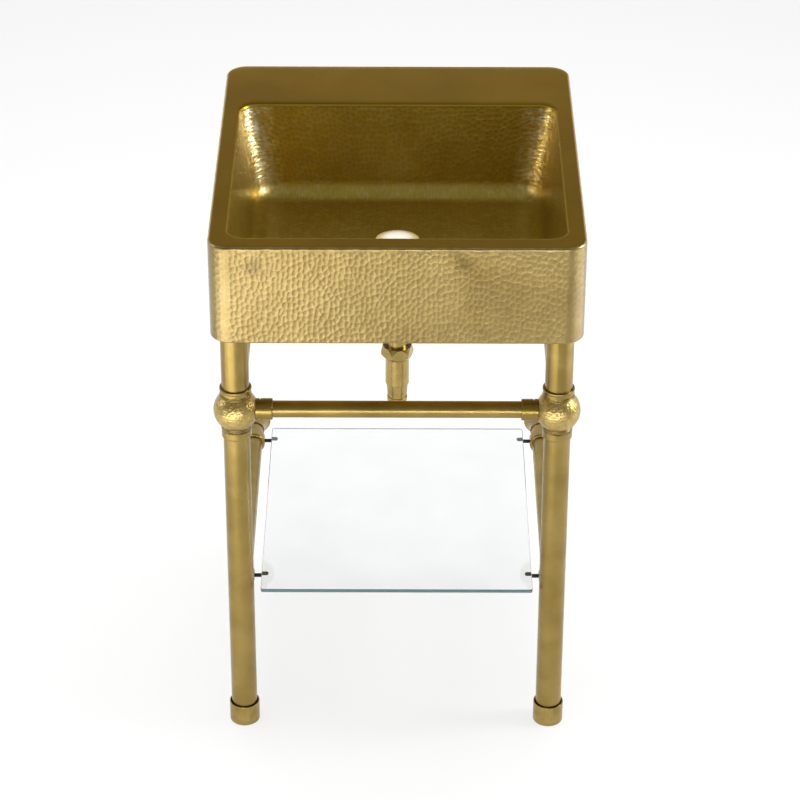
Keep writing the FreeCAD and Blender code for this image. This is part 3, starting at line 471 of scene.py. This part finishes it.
def clear_glass():
    paint = Paint("clear_glass")
    paint.set("Transmission Weight", 1.0)
    paint.set("IOR", 1.5)
    smears = paint.noise(even(9), detail=3.0)
    paint.colour(smears, (0.90, 0.915, 0.915), (0.94, 0.948, 0.948))
    paint.roughness(smears, 0.0, 0.01)
    shelf_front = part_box("glass_shelf")[0][1]
    # The front edge's dark slate colour is a painted shade; the other edges keep the pale ground colour.
    paint.ground_edge((0.72, 0.78, 0.80), shelf_front, front_painted_shade=(0.10, 0.19, 0.20), clearness=0.15)
    tint = paint.tree.nodes.new("ShaderNodeVolumeAbsorption")
    tint.inputs["Color"].default_value = (0.55, 0.80, 0.80, 1.0)
    tint.inputs["Density"].default_value = 0.8
    output = paint.tree.nodes["Material Output"]
    paint.tree.links.new(tint.outputs["Volume"], output.inputs["Volume"])
    return paint.material


def make_materials():
    """Materials by the record's slots, with more than one for the bowl, the balls and the tubes."""
    return {
        "apron_brass": apron_brass(),
        "rim_brass": rim_brass(),
        "basin_brass": basin_brass(),
        "hammered_ball_brass": ball_brass(),
        "polished_brass": cap_brass(),
        "clear_glass": clear_glass(),
        "black_sleeve": soft_plastic("black_sleeve", (0.008, 0.008, 0.009), (0.022, 0.022, 0.024)),
        "seal_rubber": soft_plastic("seal_rubber", even(0.015), even(0.03)),
        "satin_brass_upright": tube_brass("satin_brass_upright", UP_GRAIN).material,
        "satin_brass_across": tube_brass("satin_brass_across", ACROSS_GRAIN).material,
        "satin_brass_back": tube_brass("satin_brass_back", BACK_GRAIN, lacquer=0.08).material,
        "collar_brass": collar_brass(),
        "foot_brass": foot_brass(),
        "drain_brass": drain_brass(),
        "zinc_steel": zinc_steel(),
        "painted_steel": painted_steel(),
    }


# Loops and grids of points
def rounded_loop(half_width, front, back, radius, counts):
    """Points round a rounded rectangle, from its front left corner to the right and round."""
    along_x, along_y, round_corner = (np.arange(count) / count for count in counts)
    left, right = -half_width + radius, half_width - radius
    near, far = front + radius, back - radius
    sides = (
        ((left, front), (right, front), along_x, (right, near)),
        ((half_width, near), (half_width, far), along_y, (right, far)),
        ((right, back), (left, back), along_x, (left, far)),
        ((-half_width, far), (-half_width, near), along_y, (left, near)),
    )
    parts = []
    for turn, (start, end, steps, middle) in enumerate(sides):
        side = np.array(start) + steps[:, None] * (np.array(end) - np.array(start))
        angle = QUARTER_TURN * (turn - 1 + round_corner)
        bend = np.array(middle) + radius * np.column_stack((np.cos(angle), np.sin(angle)))
        parts += [side, bend]
    return np.concatenate(parts)


def loop_normals(counts):
    """Outward directions in plan at the points of a rounded loop."""
    angles = []
    for turn in range(4):
        angles.append(np.full(counts[turn % 2], turn - 1.0))
        angles.append(turn - 1 + np.arange(counts[2]) / counts[2])
    angle = np.concatenate(angles) * math.pi / 2
    return np.column_stack((np.cos(angle), np.sin(angle), np.zeros(len(angle))))


def at_height(loop, height):
    return np.column_stack((loop, np.full(len(loop), height)))


def distance_round(loop):
    """How far round a closed loop each of its points lies, and the loop's length."""
    steps = np.linalg.norm(np.roll(loop, -1, axis=0) - loop, axis=1)
    return np.concatenate(([0.0], np.cumsum(steps)[:-1])), steps.sum()


def surface_normals(rows):
    """Normals of a grid of points that closes on itself both ways."""
    along = np.roll(rows, -1, axis=1) - np.roll(rows, 1, axis=1)
    across = np.roll(rows, -1, axis=0) - np.roll(rows, 1, axis=0)
    normals = np.cross(along, across)
    return normals / np.maximum(np.linalg.norm(normals, axis=2, keepdims=True), 1e-12)


def grid_mesh(name, rows, materials, material_rows, painted_light_and_wear):
    """A mesh from a grid of points that closes on itself both ways, with one material to each row."""
    height, width = rows.shape[:2]
    index = np.arange(height * width).reshape(height, width)
    right = np.roll(index, -1, axis=1)
    faces = np.stack((index, right, np.roll(right, -1, axis=0), np.roll(index, -1, axis=0)), axis=-1)
    mesh = bpy.data.meshes.new(name)
    mesh.from_pydata(rows.reshape(-1, 3).tolist(), [], faces.reshape(-1, 4).tolist())
    for material in materials:
        mesh.materials.append(material)
    mesh.polygons.foreach_set("material_index", np.repeat(material_rows, width).astype(np.int32))
    mesh.polygons.foreach_set("use_smooth", np.ones(height * width, dtype=bool))
    mesh.set_sharp_from_angle(angle=SHARP_ANGLE)
    paint_light_and_wear = mesh.attributes.new("painted_light_and_wear", "FLOAT", "POINT")
    paint_light_and_wear.data.foreach_set("value", painted_light_and_wear.reshape(-1).astype(np.float32))
    mesh.validate()
    piece = bpy.data.objects.new(name, mesh)
    bpy.context.collection.objects.link(piece)
    return piece


# Hammer marks
def marks_and_ridges(nearest, second):
    """Shallow dents, -1 in their middles, and the thin ridges where two dents meet, from 0 to 1."""
    gap = np.sqrt(second) - np.sqrt(nearest)
    round_dent = np.minimum(nearest / DENT_REACH - 1, 0)
    flat_dent = np.clip(1 - gap / CREST_WIDTH, 0, 1) ** 2 - 1
    marks = round_dent + CREST_SHARE * (flat_dent - round_dent)
    return marks, 1 - np.clip(gap / RIDGE_WIDTH, 0, 1)


def marks_in_space(points, size, seed):
    """Hammer marks over any surface, and their ridges."""
    cells = points / size
    low = np.floor(cells.min(axis=(0, 1))).astype(int) - 1
    span = np.floor(cells.max(axis=(0, 1))).astype(int) - low + 2
    jitter = np.random.default_rng(seed).uniform(*SPACE_JITTER, (*span, 3))
    index = np.floor(cells).astype(int) - low
    nearest = np.full(cells.shape[:2], FAR_AWAY)
    second = nearest
    for step in np.ndindex(3, 3, 3):
        cell = np.clip(index + np.array(step) - 1, 0, span - 1)
        middle = cell + low + jitter[cell[..., 0], cell[..., 1], cell[..., 2]]
        distance = ((cells - middle) ** 2).sum(axis=2)
        second = np.minimum(second, np.maximum(nearest, distance))
        nearest = np.minimum(nearest, distance)
    return marks_and_ridges(nearest, second)


def marks_on_sheet(along, height, length, size, seed):
    """Hammer marks in uneven columns round a sheet that closes on itself, and their ridges."""
    columns = round(length / size[0])
    u = along / length * columns
    v = height / size[1]
    low = int(np.floor(v.min())) - 3
    rows = int(np.floor(v.max())) - low + 4
    random = np.random.default_rng(seed)
    shift = random.uniform(0, 1, columns)
    jitter = random.uniform(-SHEET_JITTER, SHEET_JITTER, (columns, rows, 2))
    column = np.floor(u).astype(int)
    nearest = np.full(u.shape, FAR_AWAY)
    second = nearest
    for side in (-1, 0, 1):
        this = column + side
        wrapped = this % columns
        row = np.floor(v - shift[wrapped]).astype(int) - low
        for step in (-1, 0, 1):
            place = np.clip(row + step, 0, rows - 1)
            middle_u = this + 0.5 + jitter[wrapped, place, 0]
            middle_v = place + low + 0.5 + shift[wrapped] + jitter[wrapped, place, 1]
            distance = (u - middle_u) ** 2 + (v - middle_v) ** 2
            second = np.minimum(second, np.maximum(nearest, distance))
            nearest = np.minimum(nearest, distance)
    return marks_and_ridges(nearest, second)


# Outer skin of the sink
def skin_counts(step):
    straight_x = 2 * (HALF_WIDTH - CORNER_RADIUS)
    straight_y = 2 * (HALF_DEPTH - CORNER_RADIUS)
    corner = CORNER_RADIUS * math.pi / 2
    return [max(2, round(length / step)) for length in (straight_x, straight_y, corner)]


def skin_loop(inset, counts):
    radius = max(CORNER_RADIUS - inset, LEAST_SKIN_RADIUS)
    return rounded_loop(HALF_WIDTH - inset, -HALF_DEPTH + inset, HALF_DEPTH - inset, radius, counts)


def blow_strength(points):
    """How hard the skin was hammered: less to the right, and least round its corners."""
    x, y = points[..., 0], points[..., 1]
    right = np.clip((x - LIGHT_BLOWS_FROM) / (LIGHT_BLOWS_TO - LIGHT_BLOWS_FROM), 0, 1)
    bend = np.minimum(np.abs(x) - HALF_WIDTH, np.abs(y) - HALF_DEPTH) / CORNER_RADIUS + 1
    corner = np.clip(CORNER_EASE_SLOPE * bend + CORNER_EASE_START, 0, 1)
    return (1 - (1 - LIGHT_BLOWS) * right) * (1 - CORNER_EASE * corner)


def slow_waves(points):
    """The hand-beaten unevenness of a broad sheet, from 0 to -1."""
    waves = 0
    for axis, turns, start, rise_turns, rise_start in SKIN_WAVES:
        along = np.sin(turns * points[..., axis] + start)
        waves = waves + along * np.cos(rise_turns * points[..., 2] + rise_start)
    return (waves - len(SKIN_WAVES)) / (2 * len(SKIN_WAVES))


def skin_dents(points, counts):
    """How far the outer skin is beaten in, and the ridges between its marks, which the apron's material
    paints pale: partly rubbed wear, partly a painted highlight.
    """
    along, length = distance_round(skin_loop(0.0, counts))
    along = np.broadcast_to(along, points.shape[:2])
    marks, ridges = marks_on_sheet(along, points[..., 2], length, APRON_MARK_SIZE, SKIN_SEED)
    strength = blow_strength(points)
    dents = APRON_MARK_DEPTH * (marks * strength) + APRON_WAVE_DEPTH * slow_waves(points)
    return dents, ridges * strength


def make_apron(materials):
    """The hammered outer skin with its bottom return."""
    counts = skin_counts(APRON_STEP)
    top = RIM_TOP - RIM_LIP
    rows = []
    for angle in np.linspace(QUARTER_TURN, 0, FOLD_ROWS):
        inset = FOLD_RADIUS * (1 - math.cos(angle))
        height = APRON_BOTTOM + FOLD_RADIUS * (1 - math.sin(angle))
        rows.append(at_height(skin_loop(inset, counts), height))
    skin_steps = round((top - APRON_BOTTOM - FOLD_RADIUS) / APRON_STEP)
    for height in np.linspace(APRON_BOTTOM + FOLD_RADIUS, top, skin_steps + 1)[1:]:
        rows.append(at_height(skin_loop(0.0, counts), height))
    skin = slice(0, len(rows))
    front, back = -HALF_DEPTH + RETURN_WIDTH, HALF_DEPTH - RETURN_WIDTH
    window = rounded_loop(HALF_WIDTH - RETURN_WIDTH, front, back, CORNER_RADIUS, counts)
    rows.append(at_height(skin_loop(GAUGE, counts), top))
    rows.append(at_height(skin_loop(GAUGE, counts), APRON_BOTTOM + GAUGE))
    rows.append(at_height(window, APRON_BOTTOM + GAUGE))
    rows.append(at_height(window, APRON_BOTTOM))
    grid = np.array(rows)
    painted_light_and_wear = np.zeros(grid.shape[:2])
    dents, painted_light_and_wear[skin] = skin_dents(grid[skin], counts)
    grid[skin] += loop_normals(counts) * dents[..., None]
    bands = np.zeros(len(rows), dtype=int)
    piece = grid_mesh("sink_apron_skin", grid, [materials["apron_brass"]], bands, painted_light_and_wear)
    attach(piece, "stand")
    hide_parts("sink_apron")


# Formed bowl of the sink
def opening_loop(inset, radius, counts):
    return rounded_loop(OPENING_HALF - inset, OPENING_FRONT + inset, OPENING_BACK - inset, radius, counts)


def lip_rows(counts):
    """Loops up the turned-down lip and over the rolled edge, and how far each one faces upwards."""
    tilts = [0.0] * LIP_ROWS + list(np.linspace(0, QUARTER_TURN, EDGE_ROWS + 1)[1:])
    rows = []
    for drop in np.linspace(RIM_LIP, RIM_EDGE_RADIUS, LIP_ROWS):
        rows.append(at_height(skin_loop(0.0, counts), RIM_TOP - drop))
    for angle in tilts[LIP_ROWS:]:
        inset = RIM_EDGE_RADIUS * (1 - math.cos(angle))
        height = RIM_TOP - RIM_EDGE_RADIUS * (1 - math.sin(angle))
        rows.append(at_height(skin_loop(inset, counts), height))
    return rows, np.array(tilts)


def deck_rows(outer_edge, counts):
    """Loops over the flat rim and deck and round the opening's edge."""
    edge = OPENING_EDGE_RADIUS
    inner_edge = at_height(opening_loop(-edge, OPENING_CORNER_RADIUS + edge, counts), RIM_TOP)
    rows = []
    for share in np.linspace(0, 1, DECK_ROWS + 1)[1:]:
        rows.append(outer_edge + (inner_edge - outer_edge) * share)
    for angle in np.linspace(0, QUARTER_TURN, OPENING_EDGE_ROWS + 2)[1:-1]:
        inset = -edge * (1 - math.sin(angle))
        height = RIM_TOP - edge * (1 - math.cos(angle))
        rows.append(at_height(opening_loop(inset, OPENING_CORNER_RADIUS - inset, counts), height))
    return rows


def wall_profile():
    """The wall's slope, where it meets the floor fillet, and the fillet's centre, as insets and depths."""
    slope = math.atan2(WALL_BATTER, BASIN_DEPTH)
    centre_depth = BASIN_DEPTH - FLOOR_FILLET
    touch_depth = centre_depth + FLOOR_FILLET * math.sin(slope)
    touch_inset = touch_depth * WALL_BATTER / BASIN_DEPTH
    centre_inset = touch_inset + FLOOR_FILLET * math.cos(slope)
    return slope, touch_depth, centre_inset, centre_depth


def basin_rows(outset, counts, wall_steps, fillet_steps, floor_steps):
    """Loops from the opening down the wall, round the fillet and over the floor to the drain hole."""
    slope, touch_depth, centre_inset, centre_depth = wall_profile()
    fillet = FLOOR_FILLET + outset
    start = outset if outset else OPENING_EDGE_RADIUS
    rows = []
    for depth in np.linspace(start, touch_depth, wall_steps):
        share = depth / BASIN_DEPTH
        wall_radius = OPENING_CORNER_RADIUS + (FLOOR_CORNER_RADIUS - OPENING_CORNER_RADIUS) * share + outset
        wall_inset = WALL_BATTER * share - outset
        rows.append(at_height(opening_loop(wall_inset, wall_radius, counts), RIM_TOP - depth))
    for angle in np.linspace(slope, QUARTER_TURN, fillet_steps + 1)[1:]:
        inset = centre_inset - fillet * math.cos(angle)
        height = RIM_TOP - centre_depth - fillet * math.sin(angle)
        radius = max(wall_radius - (inset - wall_inset), LEAST_FLOOR_RADIUS)
        rows.append(at_height(opening_loop(inset, radius, counts), height))
    edge = rows[-1][:, :2]
    spokes = edge - DRAIN_MIDDLE
    hole = DRAIN_MIDDLE + DRAIN_HOLE_RADIUS * spokes / np.linalg.norm(spokes, axis=1, keepdims=True)
    for share in np.linspace(0, 1, floor_steps + 1)[1:]:
        rows.append(at_height(edge + (hole - edge) * share, rows[-1][0, 2]))
    return rows


def underside_rows(counts):
    """Loops of the sheet's underside, from the drain hole back to the lip."""
    rows = basin_rows(GAUGE, counts, *UNDERSIDE_ROWS)[::-1]
    rows.append(at_height(skin_loop(RIM_EDGE_RADIUS, counts), RIM_TOP - GAUGE))
    rows.append(at_height(skin_loop(GAUGE, counts), RIM_TOP - RIM_EDGE_RADIUS))
    rows.append(at_height(skin_loop(GAUGE, counts), RIM_TOP - RIM_LIP))
    return rows


def beat_lip(rows, tilts, counts):
    """Dents the lip and the rolled edge less and less towards the flat rim, and returns the paint for their
    ridges and the rolled edge: partly rubbed wear, partly a painted highlight.
    """
    dents, ridges = skin_dents(rows, counts)
    upright = np.cos(tilts)[:, None]
    dents = dents * upright
    plan = loop_normals(counts)
    for row, tilt in enumerate(tilts):
        outwards = plan * math.cos(tilt) + np.array((0, 0, math.sin(tilt)))
        rows[row] += outwards * dents[row, :, None]
    # The rolled edge is painted pale along its middle: partly rubbed wear, partly a painted highlight.
    return np.maximum(ridges * upright, np.sin(2 * tilts)[:, None])


def basin_marks(points, counts):
    """Hammer marks in rows round the basin's wall, as folds in its fillet, and scattered over its floor."""
    along, length = distance_round(opening_loop(0.0, OPENING_CORNER_RADIUS, counts))
    down = np.concatenate(([0.0], np.cumsum(np.linalg.norm(np.diff(points[:, 0], axis=0), axis=1))))
    along, down = np.meshgrid(along, down)
    wall, _ = marks_on_sheet(along, down, length, BASIN_MARK_SIZE, WALL_SEED)
    folds, _ = marks_on_sheet(along, down, length, FILLET_MARK_SIZE, FOLD_SEED)
    floor, _ = marks_in_space(points, FLOOR_MARK_SIZE, FLOOR_SEED)
    share = np.clip((np.arange(len(points)) - WALL_ROWS) / FILLET_ROWS, 0, 1)[:, None]
    bend = np.sin(math.pi * share)
    return (wall + share * (floor - wall)) * (1 - bend) + folds * bend


def corner_ripples(points):
    """Level ripples where the sheet was gathered in the basin's two back corners, and a painted highlight
    for them: the whole corner paler, and palest on the ripples' ridges.
    """
    x, y, z = (points[..., axis] for axis in range(3))
    depth = (RIM_TOP - z) / BASIN_DEPTH
    corner_x = OPENING_HALF - WALL_BATTER * depth - CORNER_INSET
    corner_y = OPENING_BACK - WALL_BATTER * depth - CORNER_INSET
    away = np.hypot(np.abs(x) - corner_x, y - corner_y)
    near = np.clip(1 - away / CORNER_REACH, 0, 1) ** CORNER_FADE
    near = near * np.clip(CORNER_FLOOR_FADE * (1 - depth), 0, 1)
    marks, ridges = marks_in_space(points, CORNER_MARK_SIZE, CORNER_SEED)
    return near * marks, near * (CORNER_LEAST_PAINTED_HIGHLIGHT + (1 - CORNER_LEAST_PAINTED_HIGHLIGHT) * ridges)


def beat_basin(rows, normals, counts):
    """Dents the basin between its opening and the drain hole, and returns its paint: painted shade, darker
    in the dents' middles and paler at their edges, and the painted highlight of the corner ripples.
    """
    marks = basin_marks(rows, counts)
    ripples, ripple_painted_highlight = corner_ripples(rows)
    ends = np.ones(len(rows))
    ends[:OPENING_EASE_ROWS] = np.linspace(0, 1, OPENING_EASE_ROWS)
    ends[-DRAIN_EASE_ROWS:] = np.linspace(1, 0, DRAIN_EASE_ROWS)
    dents = BASIN_MARK_DEPTH * marks + CORNER_MARK_DEPTH * ripples
    rows += normals * (dents * ends[:, None])[..., None]
    # The dents' painted shade: 0 in their middles, rising to their edges.
    return (1 + marks + CORNER_PAINTED_HIGHLIGHT * ripple_painted_highlight) * ends[:, None]


def make_bowl(materials):
    """The formed sheet: lip, rim and deck, basin and floor, and the same sheet's underside."""
    counts = skin_counts(BOWL_STEP)
    rows, tilts = lip_rows(counts)
    lip = slice(0, len(rows))
    rows += deck_rows(rows[-1], counts)
    basin_start = len(rows)
    rows += basin_rows(0.0, counts, WALL_ROWS, FILLET_ROWS, FLOOR_ROWS)
    basin = slice(basin_start, len(rows))
    rows += underside_rows(counts)
    grid = np.array(rows)
    normals = surface_normals(grid)
    painted_light_and_wear = np.zeros(grid.shape[:2])
    painted_light_and_wear[lip] = beat_lip(grid[lip], tilts, counts)
    painted_light_and_wear[basin] = beat_basin(grid[basin], normals[basin], counts)
    bands = np.full(len(rows), RIM_BAND)
    bands[lip][tilts < RIM_BAND_TILT] = APRON_BAND
    bands[basin_start - BASIN_BAND_EARLY_ROWS :] = BASIN_BAND
    paints = [materials["apron_brass"], materials["rim_brass"], materials["basin_brass"]]
    piece = grid_mesh("sink_bowl_sheet", grid, paints, bands, painted_light_and_wear)
    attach(piece, "stand")
    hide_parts("sink_bowl")


# Ball fittings of the legs
def bulge(low, high, radius, turned_out):
    """Points of an arc between two heights at one distance from the axis, swelling outwards."""
    half = (high - low) / 2
    middle = (low + high) / 2
    centre = turned_out - math.sqrt(max(radius**2 - half**2, 0))
    reach = math.asin(min(half / radius, 1))
    return [
        (centre + radius * math.cos(angle), middle + radius * math.sin(angle))
        for angle in np.linspace(-reach, reach, BEAD_STEPS + 1)
    ]


def ball_bore():
    """The two bores for the leg's tubes, and the web with its core hole between them, from the top down."""
    half_web = BALL_WEB / 2
    upper = [(UPPER_BORE_RADIUS, BALL_HIGH), (UPPER_BORE_RADIUS, half_web)]
    core = [(CORE_HOLE_RADIUS, half_web), (CORE_HOLE_RADIUS, -half_web)]
    return upper + core + [(LOWER_BORE_RADIUS, -half_web), (LOWER_BORE_RADIUS, BALL_LOW)]


def ball_outline():
    """Radius and height round a ball fitting's section, the ball's own rows and those of the grooves."""
    upper, lower = UPPER_COLLAR_RADIUS, LOWER_COLLAR_RADIUS
    upper_root = math.sqrt(BALL_RADIUS**2 - upper**2)
    lower_root = -math.sqrt(BALL_RADIUS**2 - lower**2)
    foot, neck = lower_root - 2 * COLLAR_BEAD, upper_root + 2 * COLLAR_BEAD
    points = [(lower - COLLAR_RELIEF, BALL_LOW), (lower, BALL_LOW + COLLAR_RELIEF)]
    points += [(lower, height) for height in np.linspace(points[-1][1], foot, LOWER_NECK_ROWS + 2)[1:-1]]
    grooves = [len(points)]
    points += bulge(foot, lower_root - COLLAR_BEAD, COLLAR_BEAD_ROUND, lower)
    grooves.append(len(points) - 1)
    points += bulge(lower_root - COLLAR_BEAD, lower_root, COLLAR_BEAD_ROUND, lower)[1:]
    grooves.append(len(points) - 1)
    start = len(points)
    ball_ends = math.atan2(lower_root, lower), math.atan2(upper_root, upper)
    angles = np.linspace(*ball_ends, BALL_ROWS + 2)[1:-1]
    points += [(BALL_RADIUS * math.cos(angle), BALL_RADIUS * math.sin(angle)) for angle in angles]
    ball = slice(start, len(points))
    grooves.append(len(points))
    points += bulge(upper_root, upper_root + COLLAR_BEAD, COLLAR_BEAD_ROUND, upper)
    grooves.append(len(points) - 1)
    points += bulge(upper_root + COLLAR_BEAD, neck, COLLAR_BEAD_ROUND, upper)[1:]
    grooves.append(len(points) - 1)
    lip = BALL_HIGH - COLLAR_LIP
    points += [(upper, height) for height in np.linspace(neck, lip, UPPER_NECK_ROWS + 2)[1:-1]]
    points += bulge(lip, BALL_HIGH, COLLAR_LIP_ROUND, upper)
    return np.array(points + ball_bore()), ball, grooves


def make_ball(side, materials):
    """A cast ball, hammered between the two smooth collars that hold the leg's tubes."""
    node = f"{side}_ball_fitting"
    low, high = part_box(f"{side}_lower_leg_tube")
    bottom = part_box(node)[0][2]
    middle = np.array([(low[0] + high[0]) / 2, (low[1] + high[1]) / 2, bottom - BALL_LOW])
    outline, ball, grooves = ball_outline()
    angle = np.arange(BALL_COLUMNS) * 2 * math.pi / BALL_COLUMNS
    around = np.column_stack((np.cos(angle), np.sin(angle)))
    grid = np.zeros((len(outline), BALL_COLUMNS, 3))
    grid[..., :2] = outline[:, 0, None, None] * around
    grid[..., 2] = outline[:, 1, None]
    marks, ridges = marks_in_space(grid[ball] + middle, BALL_MARK_SIZE, BALL_SEED)
    from_start = np.arange(len(marks))
    ends = np.clip(np.minimum(from_start, from_start[::-1]) / BALL_EASE_ROWS, 0, 1)[:, None]
    grid[ball] += grid[ball] / BALL_RADIUS * (BALL_MARK_DEPTH * marks * ends)[..., None]
    painted_light_and_wear = np.zeros(grid.shape[:2])
    # Rows round the collar grooves, which the collar's material paints dark as painted shade.
    for row in grooves:
        painted_light_and_wear[row - 1 : row + 2] = 1
    painted_light_and_wear[ball] = ridges * ends
    bands = np.ones(len(outline), dtype=int)
    bands[ball] = 0
    paints = [materials["hammered_ball_brass"], materials["collar_brass"]]
    piece = grid_mesh(f"{node}_hammered", grid + middle, paints, bands, painted_light_and_wear)
    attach(piece, "stand")
    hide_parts(node)


# Pieces that keep their CAD form
def dress_nodes(materials):
    """Every CAD solid takes a material by its slot and, for the tubes, by its direction."""
    slots = {row["node"]: row["material_slot"] for row in frame["record"]["subparts"]}
    for name, node in frame["nodes"].items():
        slot = slots[name]
        if slot == "satin_brass":
            low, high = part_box(name)
            longest = max(range(3), key=lambda axis: high[axis] - low[axis])
            slot = f"satin_brass_{('across', 'back', 'upright')[longest]}"
        node.data.materials.clear()
        node.data.materials.append(materials[slot])


# Studio
def bare_material(name):
    """A material with an empty node tree but for its output."""
    material = bpy.data.materials.new(name)
    material.use_nodes = True
    tree = material.node_tree
    tree.nodes.clear()
    surface = tree.nodes.new("ShaderNodeOutputMaterial").inputs["Surface"]
    return material, tree, surface


def make_floor():
    """A pale floor that is white to the camera and in reflections, and still takes the object's shadow."""
    bpy.ops.mesh.primitive_plane_add(size=FLOOR_SIZE, location=(0, 0, -FLOOR_DROP))
    floor = bpy.context.object
    floor.name = "floor"
    material, tree, surface = bare_material("floor")
    rays = tree.nodes.new("ShaderNodeLightPath").outputs
    seen = compute(tree, "MAXIMUM", rays["Is Camera Ray"], rays["Is Glossy Ray"])
    seen = compute(tree, "MAXIMUM", seen, rays["Is Transmission Ray"])
    matt = tree.nodes.new("ShaderNodeBsdfDiffuse")
    matt.inputs["Color"].default_value = FLOOR_COLOUR
    glow = tree.nodes.new("ShaderNodeEmission")
    glow.inputs["Color"].default_value = FLOOR_COLOUR
    mix = tree.nodes.new("ShaderNodeMixShader")
    tree.links.new(compute(tree, "MULTIPLY", seen, FLOOR_GLOW), mix.inputs[0])
    tree.links.new(matt.outputs["BSDF"], mix.inputs[1])
    tree.links.new(glow.outputs["Emission"], mix.inputs[2])
    tree.links.new(mix.outputs["Shader"], surface)
    floor.data.materials.append(material)


def make_card(name, place, turn, size, near_tone, far_tone):
    """A studio card that shows only in reflections and through glass, and fades along its second side."""
    bpy.ops.mesh.primitive_plane_add(size=1, location=place, rotation=(turn, 0, 0))
    card = bpy.context.object
    card.name = name
    card.scale = (*size, 1)
    card.visible_camera = False
    card.visible_shadow = False
    card.visible_diffuse = False
    material, tree, surface = bare_material(name)
    place_on_card = tree.nodes.new("ShaderNodeTexCoord").outputs["Object"]
    along = split_axes(tree, place_on_card)["Y"]
    glow = tree.nodes.new("ShaderNodeEmission")
    tone = map_range(tree, along, CARD_ENDS, (far_tone, near_tone), smooth=True)
    tree.links.new(tone, glow.inputs["Color"])
    tree.links.new(glow.outputs["Emission"], surface)
    card.data.materials.append(material)


def soft_light(name, place, target, size, power, mirrored=True):
    lamp = bpy.data.lights.new(name, "AREA")
    lamp.shape = "RECTANGLE"
    lamp.size, lamp.size_y = size
    lamp.energy = power
    lamp.spread = LAMP_SPREAD
    holder = bpy.data.objects.new(name, lamp)
    bpy.context.collection.objects.link(holder)
    holder.location = place
    holder.rotation_euler = (Vector(target) - Vector(place)).to_track_quat("-Z", "Y").to_euler()
    holder.visible_camera = False
    holder.visible_glossy = mirrored


def make_world():
    """A studio room: pale low down and behind the object, and darker above and in front."""
    world = bpy.data.worlds.new("studio")
    bpy.context.scene.world = world
    world.use_nodes = True
    tree = world.node_tree
    height = tree.nodes.new("ShaderNodeVectorMath")
    height.operation = "DOT_PRODUCT"
    height.inputs[1].default_value = ROOM_UP
    tree.links.new(tree.nodes.new("ShaderNodeTexCoord").outputs["Generated"], height.inputs[0])
    tone = map_range(tree, height.outputs["Value"], ROOM_FADE, ROOM_TONES, smooth=True)
    tree.links.new(tone, tree.nodes["Background"].inputs["Color"])


def make_studio():
    """Soft lamps above, low in front and at the sides, two cards for the metal and glass, and the floor."""
    make_world()
    soft_light("overhead", (0, 0.5, 3.4), target=(0, 0.3, 0), size=(3.0, 3.0), power=78, mirrored=False)
    soft_light("key", (-0.68, -1.20, 0.24), target=(-0.1, -0.25, 0.55), size=(1.1, 0.5), power=3.7)
    soft_light("right_low", (1.7, -0.3, 0.02), target=(1.7, -0.3, 1), size=(0.9, 1.6), power=9)
    soft_light("left_low", (-1.4, -0.75, 0.02), target=(-1.4, -0.75, 1), size=(0.8, 0.8), power=5.5)
    soft_light("left_side", (-2.3, -0.1, 1.5), target=(0, 0, 0.8), size=(0.8, 0.8), power=4)
    soft_light("right_side", (2.3, -0.1, 1.5), target=(0, 0, 0.8), size=(0.8, 0.8), power=23)
    soft_light("front_strip", (0.0, -2.6, 0.45), target=(0, -0.2, 0.5), size=(2.6, 0.3), power=14)
    make_card("screen_behind", (0, 1.2, 0.63), QUARTER_TURN, (6, 1.26), near_tone=0.95, far_tone=0.95)
    make_card("card_in_front", (0, -1.7, 2 * MM), 0, (14, 1.8), near_tone=0.93, far_tone=0.32)
    make_floor()


def make_camera():
    camera = bpy.data.cameras.new("camera")
    camera.sensor_width = CAMERA_SENSOR_MM
    camera.lens = CAMERA_LENS_MM
    holder = bpy.data.objects.new("camera", camera)
    bpy.context.collection.objects.link(holder)
    tilt = Matrix.Rotation(QUARTER_TURN - CAMERA_PITCH, 4, "X")
    roll = Matrix.Rotation(CAMERA_ROLL, 4, "Z")
    holder.matrix_world = Matrix.Translation(CAMERA_PLACE) @ tilt @ roll
    bpy.context.scene.camera = holder


bpy.context.scene.view_settings.view_transform = "Standard"
palette = make_materials()
dress_nodes(palette)
make_bowl(palette)
make_apron(palette)
for side_name in ("left", "right"):
    make_ball(side_name, palette)
make_studio()
make_camera()
